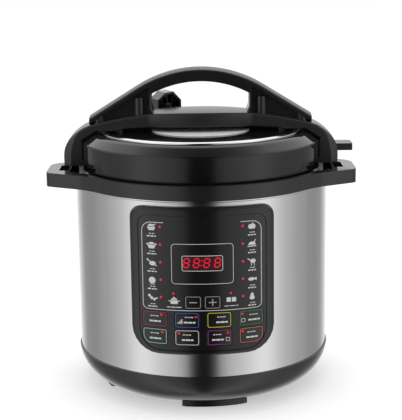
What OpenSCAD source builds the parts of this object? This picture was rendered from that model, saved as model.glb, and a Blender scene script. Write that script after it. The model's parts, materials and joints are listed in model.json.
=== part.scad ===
// Electric pressure cooker of the 6 litre class, with a bayonet lid.
// +Z is up, the front faces -Y, and the origin is on the table under the middle of the feet.

/* [Housing] */
// Outer radius of the steel sleeve
sleeve_r = 130; // [127:0.5:136]
// Sheet thickness of the steel sleeve
sleeve_t = 0.8; // [0.5:0.1:1.2]
// Height of the steel sleeve
sleeve_h = 176; // [170:1:195]
// Height of the moulded base bowl
bowl_h = 36; // [33:1:42]
// Radius of the bowl's flat bottom
bowl_bottom_r = 98; // [94:1:104]
// Radius of the arc that the bowl's side follows
bowl_arc_r = 42; // [38:1:60]
// Wall of the base bowl
bowl_t = 2.5; // [2:0.1:3.5]
// Overhang of the bowl's rim past the sleeve
bowl_lip = 1.5; // [0.5:0.1:2.5]
// Height of the feet under the bowl
foot_h = 4; // [3:0.5:7]
// Radial depth of a foot
foot_w = 17; // [12:1:24]
// Angle that one foot spans
foot_span = 36; // [20:1:45]
// Turn of the feet away from the front
foot_turn = 6; // [0:1:12]

/* [Rim collar] */
// Height of the collar
collar_h = 14; // [12:0.5:18]
// Overhang of the collar past the sleeve
collar_over = 2.6; // [1.5:0.1:4]
// Thickness of the collar's outer lip
lip_w = 5.1; // [4:0.1:6.5]
// Depth of the gutter that catches condensate
gutter_d = 8; // [6:0.5:9]
// Distance that an ear stands out from the sleeve
ear_out = 26.5; // [23:0.5:32]
// Front corner of an ear
ear_front = 50; // [44:1:54]
// Back corner of an ear
ear_back = 12; // [8:1:30]
// Length of the slot in an ear
slot_l = 30; // [28:0.5:34]
// Width of the slot in an ear
slot_w = 9.2; // [8.5:0.1:10]

/* [Bayonet] */
// Gap between the gutter's wall and the lid
lid_gap = 4.9; // [3:0.1:6]
// Wall of the lid cover
lid_wall = 2.2; // [1.8:0.1:3]
// Sheet thickness of the lid dome
dome_t = 1.2; // [1:0.1:2]
// Gap between the lobes and the dome's skirt
lobe_gap = 0.5; // [0.4:0.1:1]
// Radial reach of a lobe
lobe_l = 2.8; // [2.4:0.1:4]
// Number of lobes round the flange
lobe_n = 8; // [6:1:9]
// Angle that one lobe spans
lobe_span = 24; // [20:1:25]
// Angle that one tab spans
tab_span = 18; // [14:1:19]
// Sheet thickness of the outer vessel
vessel_t = 1.2; // [0.8:0.1:1.5]

/* [Inner pot] */
// Gap between the pot and the outer vessel
pot_gap = 2.7; // [2:0.1:4]
// Wall of the inner pot
pot_t = 1.2; // [1:0.1:1.5]
// Radius of the pot's bottom corner
pot_corner = 18; // [14:1:24]

/* [Lid] */
// Height of the lid's upright wall
lid_wall_h = 28; // [26:0.5:34]
// Rise of the sloping shoulder above the wall
shoulder_h = 9.4; // [8:0.2:12]
// Width of the sloping shoulder
shoulder_w = 15; // [12:0.5:18]
// Width of the bright ring
ring_w = 5; // [3.5:0.1:6]
// Radius of the round plate in the middle
plate_r = 51; // [40:1:54]

/* [Bridge and handle] */
// Distance from the lid's wall to the outer face of an arm
arm_out = 18.4; // [16.6:0.2:23]
// Half width of an arm, front to back
arm_w = 20; // [18:0.5:24]
// Half width of the bridge at the middle
bridge_w = 30; // [26:0.5:34]
// Rise of the bridge's crest above the collar
bridge_rise = 57.5; // [55:0.5:64]
// Radius of the bridge's arch
arch_r = 480; // [420:5:600]
// Radius of the bend from the arch into an arm
bend_r = 36; // [33:0.5:37]
// Rise of the handle's crest above the bridge's
handle_rise = 42.5; // [40:0.5:55]
// Radius of the handle's top
handle_arc_r = 124; // [120:1:135]
// Thickness of the grip
grip_t = 13.5; // [11:0.5:15]
// Half width of the handle, front to back
handle_w = 17; // [15:0.5:18]
// Half length of the finger gap under the grip
grip_half = 50; // [46:1:52]

/* [Control panel] */
// Width of the bezel
bezel_w = 139; // [136:1:144]
// Height of the bezel
bezel_h = 146; // [144:1:154]
// Width of the bezel's border at the sides and the top
border_w = 8; // [6:0.5:9]
// Width of the bezel's border at the bottom
border_low = 4.5; // [4:0.5:8]
// Distance that the bezel stands proud of the sleeve
bezel_proud = 5; // [4:0.1:6]
// Thickness of the keypad film
film_t = 2; // [1.6:0.1:2.2]
// Distance from one column of keys to the next
key_pitch = 31.2; // [30.5:0.1:32]
// Width of a function key
key_w = 23.5; // [21:0.5:26]
// Height of a function key
key_h = 15.6; // [13:0.2:16.2]
// Gap round a key
key_gap = 0.3; // [0.25:0.05:0.6]
// Travel of a key
key_travel = 0.4; // [0.3:0.05:0.6]

/* [Back] */
// Width of the condensate cup
cup_w = 42; // [36:1:50]
// Height of the condensate cup
cup_h = 48; // [40:1:60]
// Depth of the condensate cup
cup_d = 24; // [20:1:30]
// Width of the power inlet's socket
inlet_w = 24; // [22:0.5:27]

/* [Hidden] */
$fn = 96;
FULL = 360;
EPS = 0.01;        // overlap that makes cuts run through
SEAT = 0.3;        // gap at rest between pieces that can part
FIT = 0.15;        // gap between fixed mouldings
RUN = 0.05;        // radial running clearance of a turning or sliding fit

// heights
bowl_z = foot_h;
sleeve_z = bowl_z + bowl_h;
collar_z = sleeve_z + sleeve_h;
rim_z = collar_z + collar_h;
gutter_z = rim_z - gutter_d;
spigot_h = 6;
lid_z = rim_z - 1.5;
edge_z = lid_z + lid_wall_h;
shoulder_z = edge_z + shoulder_h;
floor_z = shoulder_z - 1;
cover_t = 2.5;
flange_rise = 5.5;
flange_t = 2;
flange_z = rim_z + flange_rise;
tab_t = 1.8;
tab_z = flange_z - flange_t - lobe_gap - tab_t;
dome_top_z = floor_z - cover_t - 4.5;
vessel_rise = 18;
vessel_z = sleeve_z + vessel_rise;
plate_gap = 3.3;
heater_h = 11.5;
heater_z = vessel_z + vessel_t + plate_gap;
heater_top_z = heater_z + heater_h;
pot_z = heater_top_z + SEAT;
pot_rim_z = flange_z + SEAT;
pot_rim_t = 2.4;
seal_z = pot_rim_z + pot_rim_t + SEAT;

// radii, from the outside inwards
sleeve_in = sleeve_r - sleeve_t;
bowl_rim_r = sleeve_r + bowl_lip;
collar_r = sleeve_r + collar_over;
gutter_r = collar_r - lip_w;
lid_r = gutter_r - lid_gap;
lid_in = lid_r - lid_wall;
dome_r = lid_in - SEAT;
dome_in = dome_r - dome_t;
lobe_r = dome_in - lobe_gap;
flange_r = lobe_r - lobe_l;
tab_r = flange_r + lobe_gap - 0.1;
flange_over = 1.2;
vessel_r = flange_r - flange_over;
vessel_in = vessel_r - vessel_t;
pot_r = vessel_in - pot_gap;
pot_in = pot_r - pot_t;
pot_rim_r = flange_r - 0.6;
collar_in = vessel_r + 0.8;
shoulder_r = lid_r - shoulder_w;
ring_out = shoulder_r - 2;
ring_in = ring_out - ring_w;

// reach to the sides
ear_x = sleeve_r + ear_out;
arm_x = lid_r + arm_out;

// ---------- shared shapes ----------

// Ring between two radii
module tube(r_out, r_in, h) {
    difference() {
        cylinder(r = r_out, h = h);
        translate([0, 0, -EPS]) cylinder(r = r_in, h = h + 2 * EPS);
    }
}

// Sector of a ring, centred on an angle
module sector(r_out, r_in, h, middle, span) {
    rotate([0, 0, middle - span / 2])
        rotate_extrude(angle = span) translate([r_in, 0]) square([r_out - r_in, h]);
}

// Flat outline with four round corners: the lower corners may have their own radius
module rounded(w, h, r, r_low) {
    translate([-w / 2 + r, h / 2 - r]) circle(r);
    translate([w / 2 - r, h / 2 - r]) circle(r);
    translate([-w / 2 + r_low, -h / 2 + r_low]) circle(r_low);
    translate([w / 2 - r_low, -h / 2 + r_low]) circle(r_low);
    translate([-w / 2 + r, h / 2 - 2 * r]) square([w - 2 * r, 2 * r]);
    translate([-w / 2 + r_low, -h / 2]) square([w - 2 * r_low, h - r]);
    translate([-w / 2, -h / 2 + r_low]) square([w, h - r - r_low]);
}

// Extrusion of an x-z outline along y, from y0 to y1
module along_y(y0, y1) {
    translate([0, y1, 0]) rotate([90, 0, 0]) linear_extrude(y1 - y0) children();
}

// Part of an upright tube on the front, cut to an x-z outline
module on_front(r_in, r_out) {
    intersection() {
        translate([0, 0, sleeve_z]) tube(r_out, r_in, sleeve_h);
        along_y(-r_out - 1, 0) children();
    }
}

// Screw with a domed head, its seat at z = 0 and its shank pointing down
module screw(r_head, h_head, r_shank, l) {
    slot = 0.8;
    difference() {
        union() {
            cylinder(r = r_head, h = h_head * 0.6);
            translate([0, 0, h_head * 0.6]) cylinder(r1 = r_head, r2 = r_head * 0.6, h = h_head * 0.4);
            translate([0, 0, -l]) cylinder(r = r_shank, h = l + EPS);
        }
        translate([-r_head * 0.7, -slot / 2, h_head * 0.5]) cube([r_head * 1.4, slot, h_head]);
        translate([-slot / 2, -r_head * 0.7, h_head * 0.5]) cube([slot, r_head * 1.4, h_head]);
    }
}

// ---------- base ----------

foot_r = bowl_bottom_r + 8;
foot_pocket = 1.2;
foot_edge = 1.5;
foot_pad_h = foot_h * 0.6;
foot_trim = 2;
foot_n = 4;
post_r = 5;
post_at = 72;
post_n = 3;
screw_r = 2;
screw_sunk = 4;
bowl_floor_z = bowl_z + bowl_t;

// Angle of one post, so that none lies at the very front
function post_angle(i) = 90 + i * FULL / post_n;

// Angle of the middle of one foot, counted from the front
function foot_angle(i) = 270 + foot_turn + i * FULL / foot_n;

// Half section of the bowl's outside, drawn inwards by an inset
module bowl_half(inset) {
    r_top = bowl_rim_r - inset;
    r_low = bowl_bottom_r - inset;
    z_low = bowl_z + inset;
    arc_r = bowl_arc_r - inset;
    mid = [(r_top + r_low) / 2, (sleeve_z + z_low) / 2];
    chord = sqrt(pow(r_top - r_low, 2) + pow(sleeve_z - z_low, 2));
    back = sqrt(arc_r * arc_r - chord * chord / 4);
    centre = [mid[0] - back * (sleeve_z - z_low) / chord, mid[1] + back * (r_top - r_low) / chord];
    polygon([[0, z_low], [r_low, z_low], [r_top, sleeve_z], [0, sleeve_z]]);
    intersection() {
        translate(centre) circle(arc_r);
        polygon([[r_low, z_low], [r_top + 1, z_low - EPS], [r_top + 1, sleeve_z], [r_top, sleeve_z]]);
    }
}

module feet() {
    color([0.07, 0.07, 0.08])
        for (i = [0:foot_n - 1])
            sector(foot_r - foot_edge, foot_r - foot_w + foot_edge, foot_pad_h,
                foot_angle(i), foot_span - foot_trim);
}

module base_shell() {
    vent_n = 14;
    vent_l = 16;
    vent_w = 3;
    shelf_r = sleeve_in - FIT - bowl_t;
    color([0.06, 0.06, 0.07]) difference() {
        union() {
            rotate_extrude() {
                difference() {
                    bowl_half(0);
                    bowl_half(bowl_t);
                }
                translate([shelf_r, sleeve_z - bowl_t]) square([bowl_rim_r - bowl_t / 2 - shelf_r, bowl_t]);
                translate([shelf_r, sleeve_z - bowl_t]) square([bowl_t, bowl_t + spigot_h]);
            }
            for (i = [0:foot_n - 1])
                difference() {
                    sector(foot_r, foot_r - foot_w, bowl_floor_z, foot_angle(i), foot_span);
                    translate([0, 0, -EPS]) cylinder(r = bowl_rim_r, h = foot_pad_h - foot_pocket);
                }
            for (i = [0:post_n - 1])
                rotate([0, 0, post_angle(i)]) translate([post_at, 0, bowl_z])
                    cylinder(r = post_r, h = vessel_z - bracket_t - bowl_z);
        }
        for (i = [0:foot_n - 1])
            translate([0, 0, -EPS])
                sector(foot_r - foot_edge + FIT, foot_r - foot_w + foot_edge - FIT, foot_pad_h + EPS,
                    foot_angle(i), foot_span - foot_trim + FIT);
        for (i = [0:post_n - 1])
            rotate([0, 0, post_angle(i)]) translate([post_at, 0, 0]) {
                translate([0, 0, bowl_z - EPS]) cylinder(r = screw_r + 2, h = screw_sunk + EPS);
                cylinder(r = screw_r + RUN, h = vessel_z);
            }
        for (ring = [26, 48])
            for (i = [0:vent_n - 1])
                rotate([0, 0, (i + 0.5) * FULL / vent_n])
                    translate([ring - vent_l / 2, -vent_w / 2, bowl_z - 1])
                        cube([vent_l, vent_w, bowl_t + 2]);
    }
}

module base_screws() {
    color([0.6, 0.6, 0.62])
        for (i = [0:post_n - 1])
            rotate([0, 0, post_angle(i)]) translate([post_at, 0, bowl_z + screw_sunk]) mirror([0, 0, 1])
                screw(screw_r + 1.6, 2.4, screw_r, vessel_z - bowl_z - screw_sunk - FIT);
}

// ---------- housing ----------

bezel_z = collar_z - 6 - bezel_h / 2;
film_w = bezel_w - 2 * border_w - 2 * FIT;
film_h = bezel_h - border_w - border_low - 2 * FIT;
film_z = bezel_z + (border_low - border_w) / 2;
window_edge = 3;
window_w = film_w - 2 * window_edge;
window_h = film_h - 2 * window_edge;
inlet_h = inlet_w * 0.75;
inlet_z = sleeve_z + 28;
inlet_wall = 3;
cup_z = collar_z - cup_h - 4;

module outer_sleeve() {
    color([0.68, 0.68, 0.69]) difference() {
        translate([0, 0, sleeve_z]) tube(sleeve_r, sleeve_in, sleeve_h);
        along_y(-sleeve_r - 1, -sleeve_r / 2) translate([0, film_z])
            rounded(window_w, window_h, film_corner - window_edge, film_low_corner - window_edge);
        along_y(sleeve_r / 2, sleeve_r + 1) translate([0, inlet_z])
            square([inlet_w + 2 * inlet_wall, inlet_h + 2 * inlet_wall], center = true);
    }
}

ear_corner = 5;
ear_back_corner = 19;
lip_round = 2;
drain_y = sleeve_r + 7;
drain_r = 3;
drain_wall = 4;
ear_wall = 12;
ear_nose = [33, 18];
ear_run = [6, 37];
pocket_x = ear_x - 23;
slot_x = ear_x - ear_wall - slot_w;

// Plan of the right ear: its front runs on into the collar
module ear_plan() {
    x0 = sleeve_r * 0.7;
    translate([x0, -ear_front]) square([ear_x - x0 - ear_corner, ear_front]);
    translate([x0, -ear_front + ear_corner])
        square([ear_x - x0, ear_front - ear_corner + ear_back - ear_back_corner]);
    translate([x0, -ear_front + ear_corner])
        square([ear_x - x0 - ear_back_corner, ear_front - ear_corner + ear_back]);
    translate([ear_x - ear_corner, -ear_front + ear_corner]) circle(ear_corner);
    translate([ear_x - ear_back_corner, ear_back - ear_back_corner]) circle(ear_back_corner);
    polygon([[ear_x - ear_corner, -ear_front], [ear_x - ear_corner - ear_nose[0], -ear_front - ear_nose[1]],
        [x0 + ear_run[0], -ear_front - ear_run[1]], [x0, -ear_front]]);
}

module rim_collar() {
    color([0.08, 0.08, 0.09]) difference() {
        union() {
            translate([0, 0, collar_z]) cylinder(r = collar_r, h = collar_h - lip_round);
            rotate_extrude() {
                translate([collar_in, rim_z - lip_round - EPS])
                    square([collar_r - lip_round - collar_in, lip_round + EPS]);
                translate([collar_r - lip_round, rim_z - lip_round]) circle(lip_round);
            }
            translate([0, 0, collar_z - spigot_h])
                tube(sleeve_in - FIT, sleeve_in - FIT - 2.5, spigot_h + EPS);
            for (side = [0, 1])
                mirror([side, 0, 0]) translate([0, 0, collar_z]) linear_extrude(collar_h) ear_plan();
            translate([-drain_r - drain_wall, gutter_r, collar_z])
                cube([2 * (drain_r + drain_wall), drain_y + drain_r + drain_wall - gutter_r, gutter_d]);
        }
        translate([0, 0, collar_z - 1]) cylinder(r = collar_in, h = collar_h + 2);
        translate([0, 0, gutter_z]) cylinder(r = gutter_r, h = collar_h);
        for (side = [0, 1])
            mirror([side, 0, 0]) {
                translate([sleeve_r * 0.7, -ear_front - 4, gutter_z])
                    linear_extrude(collar_h) ear_pocket_plan();
                translate([slot_x, -slot_l - 6, collar_z - 1]) cube([slot_w, slot_l, collar_h + 2]);
                translate([bracket_x, bracket_y, collar_z - 1]) cylinder(r = screw_r + RUN, h = collar_h);
            }
        translate([-drain_r, gutter_r - 2, gutter_z])
            cube([2 * drain_r, drain_y - gutter_r + 2, gutter_d / 3]);
        translate([0, drain_y, collar_z - 1]) cylinder(r = drain_r, h = gutter_z - collar_z + 1 + EPS);
    }
}

// Plan of the well in front of an arm, measured from its own corner
module ear_pocket_plan() {
    w = pocket_x - sleeve_r * 0.7;
    polygon([[0, 0], [w - 14, 0], [w, 7], [w, ear_front + 6], [0, ear_front + 6]]);
}

bracket_t = 1.5;
bracket_w = 14;
bracket_y = -30;
bracket_x = gutter_r - 3.5;

// Steel ears that tie the vessel to the collar: they lie on the floor of each well
module ear_brackets() {
    color([0.72, 0.72, 0.74])
        for (side = [0, 1])
            mirror([side, 0, 0]) difference() {
                union() {
                    translate([vessel_r - 9, bracket_y - bracket_w / 2, gutter_z])
                        cube([pocket_x - vessel_r + 7, bracket_w, bracket_t]);
                    translate([pocket_x - 2 - bracket_t, bracket_y - bracket_w / 2, gutter_z])
                        cube([bracket_t, bracket_w, 4]);
                }
                translate([0, 0, gutter_z - 1]) cylinder(r = vessel_r + FIT, h = 9);
                translate([bracket_x, bracket_y, gutter_z - 1]) cylinder(r = screw_r + RUN, h = 9);
            }
}

module ear_screws() {
    color([0.8, 0.8, 0.82])
        for (side = [0, 1])
            mirror([side, 0, 0]) translate([bracket_x, bracket_y, gutter_z + bracket_t])
                screw(3.4, 2.2, screw_r, 5);
}

// ---------- vessel and heater ----------

vessel_corner = 12;
vessel_hole = 22;

// Half section of a round vessel with a round bottom corner
module cup_half(r, z0, z1, corner) {
    translate([0, z0 + corner]) square([r, z1 - z0 - corner]);
    translate([0, z0]) square([r - corner, corner + EPS]);
    translate([r - corner, z0 + corner]) circle(corner);
}

module outer_vessel() {
    color([0.78, 0.78, 0.8]) difference() {
        union() {
            rotate_extrude() difference() {
                cup_half(vessel_r, vessel_z, flange_z, vessel_corner);
                cup_half(vessel_in, vessel_z + vessel_t, flange_z + 1, vessel_corner - vessel_t);
            }
            translate([0, 0, flange_z - flange_t]) tube(flange_r, vessel_in, flange_t);
            for (i = [0:lobe_n - 1])
                translate([0, 0, flange_z - flange_t])
                    sector(lobe_r, flange_r - 1, flange_t, (i + 0.5) * FULL / lobe_n, lobe_span);
        }
        translate([0, 0, vessel_z - 1]) cylinder(r = vessel_hole, h = vessel_t + 2);
        for (side = [-1, 1])
            translate([side * terminal_at, 0, vessel_z - 1]) cylinder(r = 6, h = vessel_t + 2);
    }
}

bracket_ring = 30;
bracket_rim = 6;

// Star-shaped strap under the vessel that the base screws pull on
module vessel_bracket() {
    color([0.7, 0.7, 0.7]) translate([0, 0, vessel_z - bracket_t]) difference() {
        union() {
            cylinder(r = bracket_ring + bracket_rim, h = bracket_t);
            for (i = [0:post_n - 1])
                rotate([0, 0, post_angle(i)]) {
                    translate([0, -8, 0]) cube([post_at, 16, bracket_t]);
                    translate([post_at, 0, 0]) cylinder(r = 8, h = bracket_t);
                }
        }
        translate([0, 0, -1]) cylinder(r = bracket_ring - bracket_rim, h = bracket_t + 2);
        for (i = [0:post_n - 1])
            rotate([0, 0, post_angle(i)]) translate([post_at, 0, -1])
                cylinder(r = screw_r + RUN, h = bracket_t + 2);
    }
}

heater_r = 80;
heater_t = 6;
terminal_at = 62;
terminal_drop = 8;
probe_r = 16;
probe_flange = 2.5;
probe_travel = 3;
probe_z = heater_top_z - heater_t - probe_travel;

module heating_plate() {
    element_r = 4;
    edge = 3;
    color([0.74, 0.74, 0.75]) difference() {
        union() {
            rotate_extrude() {
                translate([0, heater_top_z - heater_t]) square([heater_r - edge, heater_t]);
                translate([heater_r - edge, heater_top_z - heater_t]) square([edge, heater_t - edge]);
                translate([heater_r - edge, heater_top_z - edge]) circle(edge);
                translate([terminal_at, heater_top_z - heater_t - 1]) circle(element_r);
            }
            for (i = [0:post_n - 1])
                rotate([0, 0, post_angle(i) + 60]) translate([40, 0, vessel_z + vessel_t])
                    cylinder(r = 5, h = plate_gap + heater_h - heater_t + EPS);
            for (side = [-1, 1])
                translate([side * terminal_at, 0, vessel_z - terminal_drop])
                    cylinder(r = 3, h = plate_gap + heater_h - 2 + terminal_drop);
        }
        translate([0, 0, vessel_z - 9]) cylinder(r = probe_r + SEAT, h = heater_h + 40);
    }
}

guide_z = vessel_z - bracket_t;
guide_h = 9;
guide_hole = 5;
guide_r = bracket_ring - bracket_rim;

// Sheet cup that carries the probe's spring, hung in the hole of the bracket
module probe_guide() {
    color([0.66, 0.66, 0.68]) {
        translate([0, 0, guide_z - guide_h])
            tube(guide_r - FIT, probe_r + probe_flange - 1 + SEAT, guide_h + bracket_t);
        translate([0, 0, guide_z - guide_h - bracket_t]) tube(guide_r - FIT, guide_hole, bracket_t + EPS);
        translate([0, 0, guide_z - bracket_t]) tube(bracket_ring, guide_r - 1, bracket_t);
    }
}

spring_r = 11;
spring_wire = 0.7;
spring_turns = 5;
spring_z = guide_z - guide_h + spring_wire;

// Point of the coil's centre line
function coil_point(t, rise) =
    [spring_r * cos(FULL * t), spring_r * sin(FULL * t), spring_z + rise * t / spring_turns];

module probe_spring() {
    rings = spring_turns * 12;
    sides = 6;
    rise = probe_z - 1 - spring_z - spring_wire - RUN;
    function ring_point(i, j) =
        let (t = i / 12, a = FULL * j / sides, p = coil_point(t, rise), u = FULL * t)
        [p[0] + spring_wire * cos(a) * cos(u), p[1] + spring_wire * cos(a) * sin(u),
            p[2] + spring_wire * sin(a)];
    points = [for (i = [0:rings]) for (j = [0:sides - 1]) ring_point(i, j)];
    walls = [for (i = [0:rings - 1]) for (j = [0:sides - 1])
        [i * sides + j, i * sides + (j + 1) % sides,
            (i + 1) * sides + (j + 1) % sides, (i + 1) * sides + j]];
    color([0.6, 0.6, 0.62])
        polyhedron(points, concat([[for (j = [sides - 1:-1:0]) j]], walls,
            [[for (j = [0:sides - 1]) rings * sides + j]]));
}

module temp_probe() {
    wall = 1;
    color([0.82, 0.82, 0.83]) rotate_extrude() {
        translate([0, heater_top_z - 1.5]) square([probe_r - 1, 1.5]);
        translate([probe_r - 1, heater_top_z - 1]) circle(1);
        translate([probe_r - wall, probe_z]) square([wall, heater_top_z - 1 - probe_z]);
        translate([2, probe_z - 1]) square([probe_r - 2 + probe_flange - 1.5, wall]);
        translate([2, probe_z - 1]) square([wall, heater_top_z - 1 - probe_z]);
    }
}

sensor_at = 48.5;

// Fuse in a ceramic block, with a lead at each end
module thermal_fuse() {
    fuse_l = 16;
    lead_l = 5;
    color([0.85, 0.83, 0.76])
        rotate([0, 0, 150]) translate([sensor_at - 4, -fuse_l / 2, vessel_z - 6]) {
            cube([8, fuse_l, 6]);
            translate([3, -lead_l, 2.5]) cube([2, fuse_l + 2 * lead_l, 1]);
        }
}

// Switch that feels the vessel's floor being pressed down, with two blades below
module pressure_switch() {
    blade_h = 6;
    color([0.2, 0.2, 0.22])
        rotate([0, 0, 30]) translate([sensor_at, 0, vessel_z - 12]) {
            cylinder(r = 8, h = 12);
            for (x = [-3, 2]) translate([x, -3, -blade_h]) cube([1, 6, blade_h + EPS]);
        }
}

// ---------- base electronics ----------

board_z = bowl_floor_z + 6;
board_t = 1.6;
board_x = 78;
board_y = 44;
board_at = [-8, -48];

// Board on four pillars, with its transformer, relay, capacitor, buzzer and terminal block
module power_board() {
    pillar_in = 4;
    color([0.15, 0.35, 0.2])
        translate([board_at[0] - board_x / 2, board_at[1] - board_y / 2, board_z]) {
            cube([board_x, board_y, board_t]);
            for (x = [pillar_in, board_x - pillar_in])
                for (y = [pillar_in, board_y - pillar_in])
                    translate([x, y, bowl_floor_z - board_z])
                        cylinder(r = 2.5, h = board_z - bowl_floor_z + EPS);
            translate([8, 10, board_t - EPS]) cube([22, 20, 18]);
            translate([36, 8, board_t - EPS]) cube([12, 16, 15]);
            translate([56, 12, board_t - EPS]) cylinder(r = 6.3, h = 20);
            translate([38, 34, board_t - EPS]) cylinder(r = 4, h = 12);
            translate([54, 28, board_t - EPS]) cube([18, 6, 12]);
        }
}

inlet_front = vessel_r + 1.5;
inlet_back = sleeve_r + 12;
pin_l = 15;

// Three-pin appliance inlet in a hood that stands proud of the sleeve, open to the back
module power_inlet() {
    pin_x = inlet_w * 0.29;
    pin_w = 2;
    pin_h = 4;
    cut = 4;
    color([0.07, 0.07, 0.08]) difference() {
        union() {
            along_y(inlet_front, inlet_back) translate([0, inlet_z])
                square([inlet_w + 2 * inlet_wall - 2 * FIT, inlet_h + 2 * inlet_wall - 2 * FIT],
                    center = true);
            difference() {
                along_y(sleeve_r / 2, inlet_back) translate([0, inlet_z])
                    square([inlet_w + 4 * inlet_wall, inlet_h + 4 * inlet_wall], center = true);
                translate([0, 0, bowl_z]) cylinder(r = sleeve_r + FIT, h = sleeve_h);
            }
        }
        along_y(inlet_front + inlet_wall, inlet_back + 1) translate([0, inlet_z]) polygon([
            [-inlet_w / 2, -inlet_h / 2], [inlet_w / 2, -inlet_h / 2],
            [inlet_w / 2, inlet_h / 2 - cut], [inlet_w / 2 - cut, inlet_h / 2],
            [-inlet_w / 2 + cut, inlet_h / 2], [-inlet_w / 2, inlet_h / 2 - cut]]);
    }
    color([0.75, 0.7, 0.5])
        for (p = [[-pin_x, -2], [pin_x, -2], [0, 3]])
            translate([p[0] - pin_w / 2, inlet_front + 1, inlet_z + p[1] - pin_h / 2])
                cube([pin_w, inlet_wall + pin_l, pin_h]);
}

// ---------- condensate cup ----------

rail = 2.5;
cup_wall = 1.6;
cup_y = sleeve_r + 1.5;
rail_z = cup_z + cup_h - 6;
holder_side = 6;
holder_h = 14;
holder_top = 2;
holder_in = 12;

// Bracket that the cup slides out of, with a hole that lets the drops through
module cup_holder() {
    depth = cup_d - holder_side;
    low = cup_z + cup_h + holder_top - holder_h;
    color([0.08, 0.08, 0.09]) difference() {
        translate([-cup_w / 2 - holder_side, sleeve_r - holder_in, low])
            cube([cup_w + 2 * holder_side, depth + holder_in, holder_h]);
        translate([0, 0, cup_z]) cylinder(r = sleeve_r + FIT, h = cup_h + 20);
        translate([0, drain_y, cup_z + cup_h]) cylinder(r = drain_r + 1, h = 9);
        translate([-cup_w / 2 - SEAT, cup_y - holder_in - 2, low - 1])
            cube([cup_w + 2 * SEAT, depth + 2 * holder_in, holder_h - holder_top + 1 + SEAT]);
        for (side = [-1, 1])
            translate([side * cup_w / 2 - rail - SEAT, cup_y + 2, rail_z - rail / 2 - SEAT])
                cube([2 * rail + 2 * SEAT, depth, rail + 2 * SEAT]);
    }
}

module condensate_cup() {
    corner = 6;
    color([0.8, 0.85, 0.9, 0.5]) {
        difference() {
            translate([0, cup_y + corner, cup_z]) linear_extrude(cup_h) cup_plan(0);
            translate([0, cup_y + corner, cup_z + cup_wall]) linear_extrude(cup_h) cup_plan(cup_wall);
        }
        for (side = [-1, 1])
            translate([side * (cup_w / 2 + rail / 2 - 0.2) - rail / 2, cup_y + 3, rail_z - rail / 2])
                cube([rail, cup_d - 10, rail]);
    }
}

// Plan of the cup: flat towards the sleeve, round corners at the back
module cup_plan(inset) {
    corner = 6;
    translate([-cup_w / 2 + inset, -corner + inset]) square([cup_w - 2 * inset, cup_d - corner - inset]);
    translate([-cup_w / 2 + corner, 0]) square([cup_w - 2 * corner, cup_d - corner - inset]);
    for (side = [-1, 1])
        translate([side * (cup_w / 2 - corner), cup_d - 2 * corner]) circle(corner - inset);
}

// ---------- control panel ----------

panel_r = sleeve_r + bezel_proud;
film_r = panel_r - 0.6;
film_in = film_r - film_t;
back_t = 1.4;
back_r = sleeve_r + FIT;
bezel_corner = 12;
bezel_low_corner = 26;
bezel_step = 2.8;
film_corner = 9;
film_low_corner = 20;
row_gap = 2;
row2_z = film_z - film_h / 2 + 5.5 + key_h / 2;
row1_z = row2_z + key_h + row_gap;
small_key_w = 15.2;
small_key_h = 12.4;
small_key_x = 9.4;
small_key_z = row1_z + key_h / 2 + 3.8 + small_key_h / 2;
display_w = 60;
display_h = 40;
display_z = small_key_z + small_key_h / 2 + 11.5 + display_h / 2;
stem_r = 1.6;
board_front = sleeve_r - 11;
switch_h = 1.2;
stem_end = board_front + switch_h + key_travel + 2 * RUN;
window_frame = 5;

// Columns run from the left; the lower row starts at key 5
function key_x(i) = ((i - 1) % 4 - 1.5) * key_pitch;
function key_row_z(i) = i < 5 ? row1_z : row2_z;

// Outline of a function key: the outer corners of the lower row follow the film's corners
module key_outline(i, grow) {
    w = key_w + 2 * grow;
    h = key_h + 2 * grow;
    r = 2.5 + grow;
    big = i > 4 && (i % 4 == 1 || i % 4 == 0) ? 8 + grow : r;
    translate([key_x(i), key_row_z(i)]) {
        flip = i % 4 == 0 ? 1 : 0;
        mirror([flip, 0]) {
            translate([-w / 2 + big, -h / 2 + big]) circle(big);
            translate([w / 2 - r, -h / 2 + r]) circle(r);
            translate([-w / 2 + r, h / 2 - r]) circle(r);
            translate([w / 2 - r, h / 2 - r]) circle(r);
            translate([-w / 2 + big, -h / 2]) square([w - big - r, h / 2]);
            translate([-w / 2, -h / 2 + big]) square([w / 2, h - big - r]);
            translate([0, -h / 2 + r]) square([w / 2, h - 2 * r]);
            translate([-w / 2 + r, 0]) square([w - 2 * r, h / 2]);
        }
    }
}

module small_outline(x, grow) {
    translate([x, small_key_z])
        rounded(small_key_w + 2 * grow, small_key_h + 2 * grow, 2 + grow, 2 + grow);
}

// A key pad with the stem that reaches its switch
module key_pad(x, z, shade) {
    color(shade) {
        on_front(film_in, film_r) children();
        intersection() {
            along_y(-film_in - 1, -stem_end) translate([x, z]) circle(stem_r);
            cylinder(r = film_in + 0.2, h = rim_z);
        }
    }
}

module function_key(i) {
    key_pad(key_x(i), key_row_z(i), [0.09, 0.09, 0.1]) key_outline(i, 0);
}

module key_minus() { key_pad(-small_key_x, small_key_z, [0.09, 0.09, 0.1]) small_outline(-small_key_x, 0); }
module key_plus() { key_pad(small_key_x, small_key_z, [0.09, 0.09, 0.1]) small_outline(small_key_x, 0); }

// Centres of all the stems
stem_places = concat([for (i = [1:8]) [key_x(i), key_row_z(i)]],
    [[-small_key_x, small_key_z], [small_key_x, small_key_z]]);

module film_outline(grow) {
    translate([0, film_z])
        rounded(film_w + 2 * grow, film_h + 2 * grow, film_corner + grow, film_low_corner + grow);
}

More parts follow.
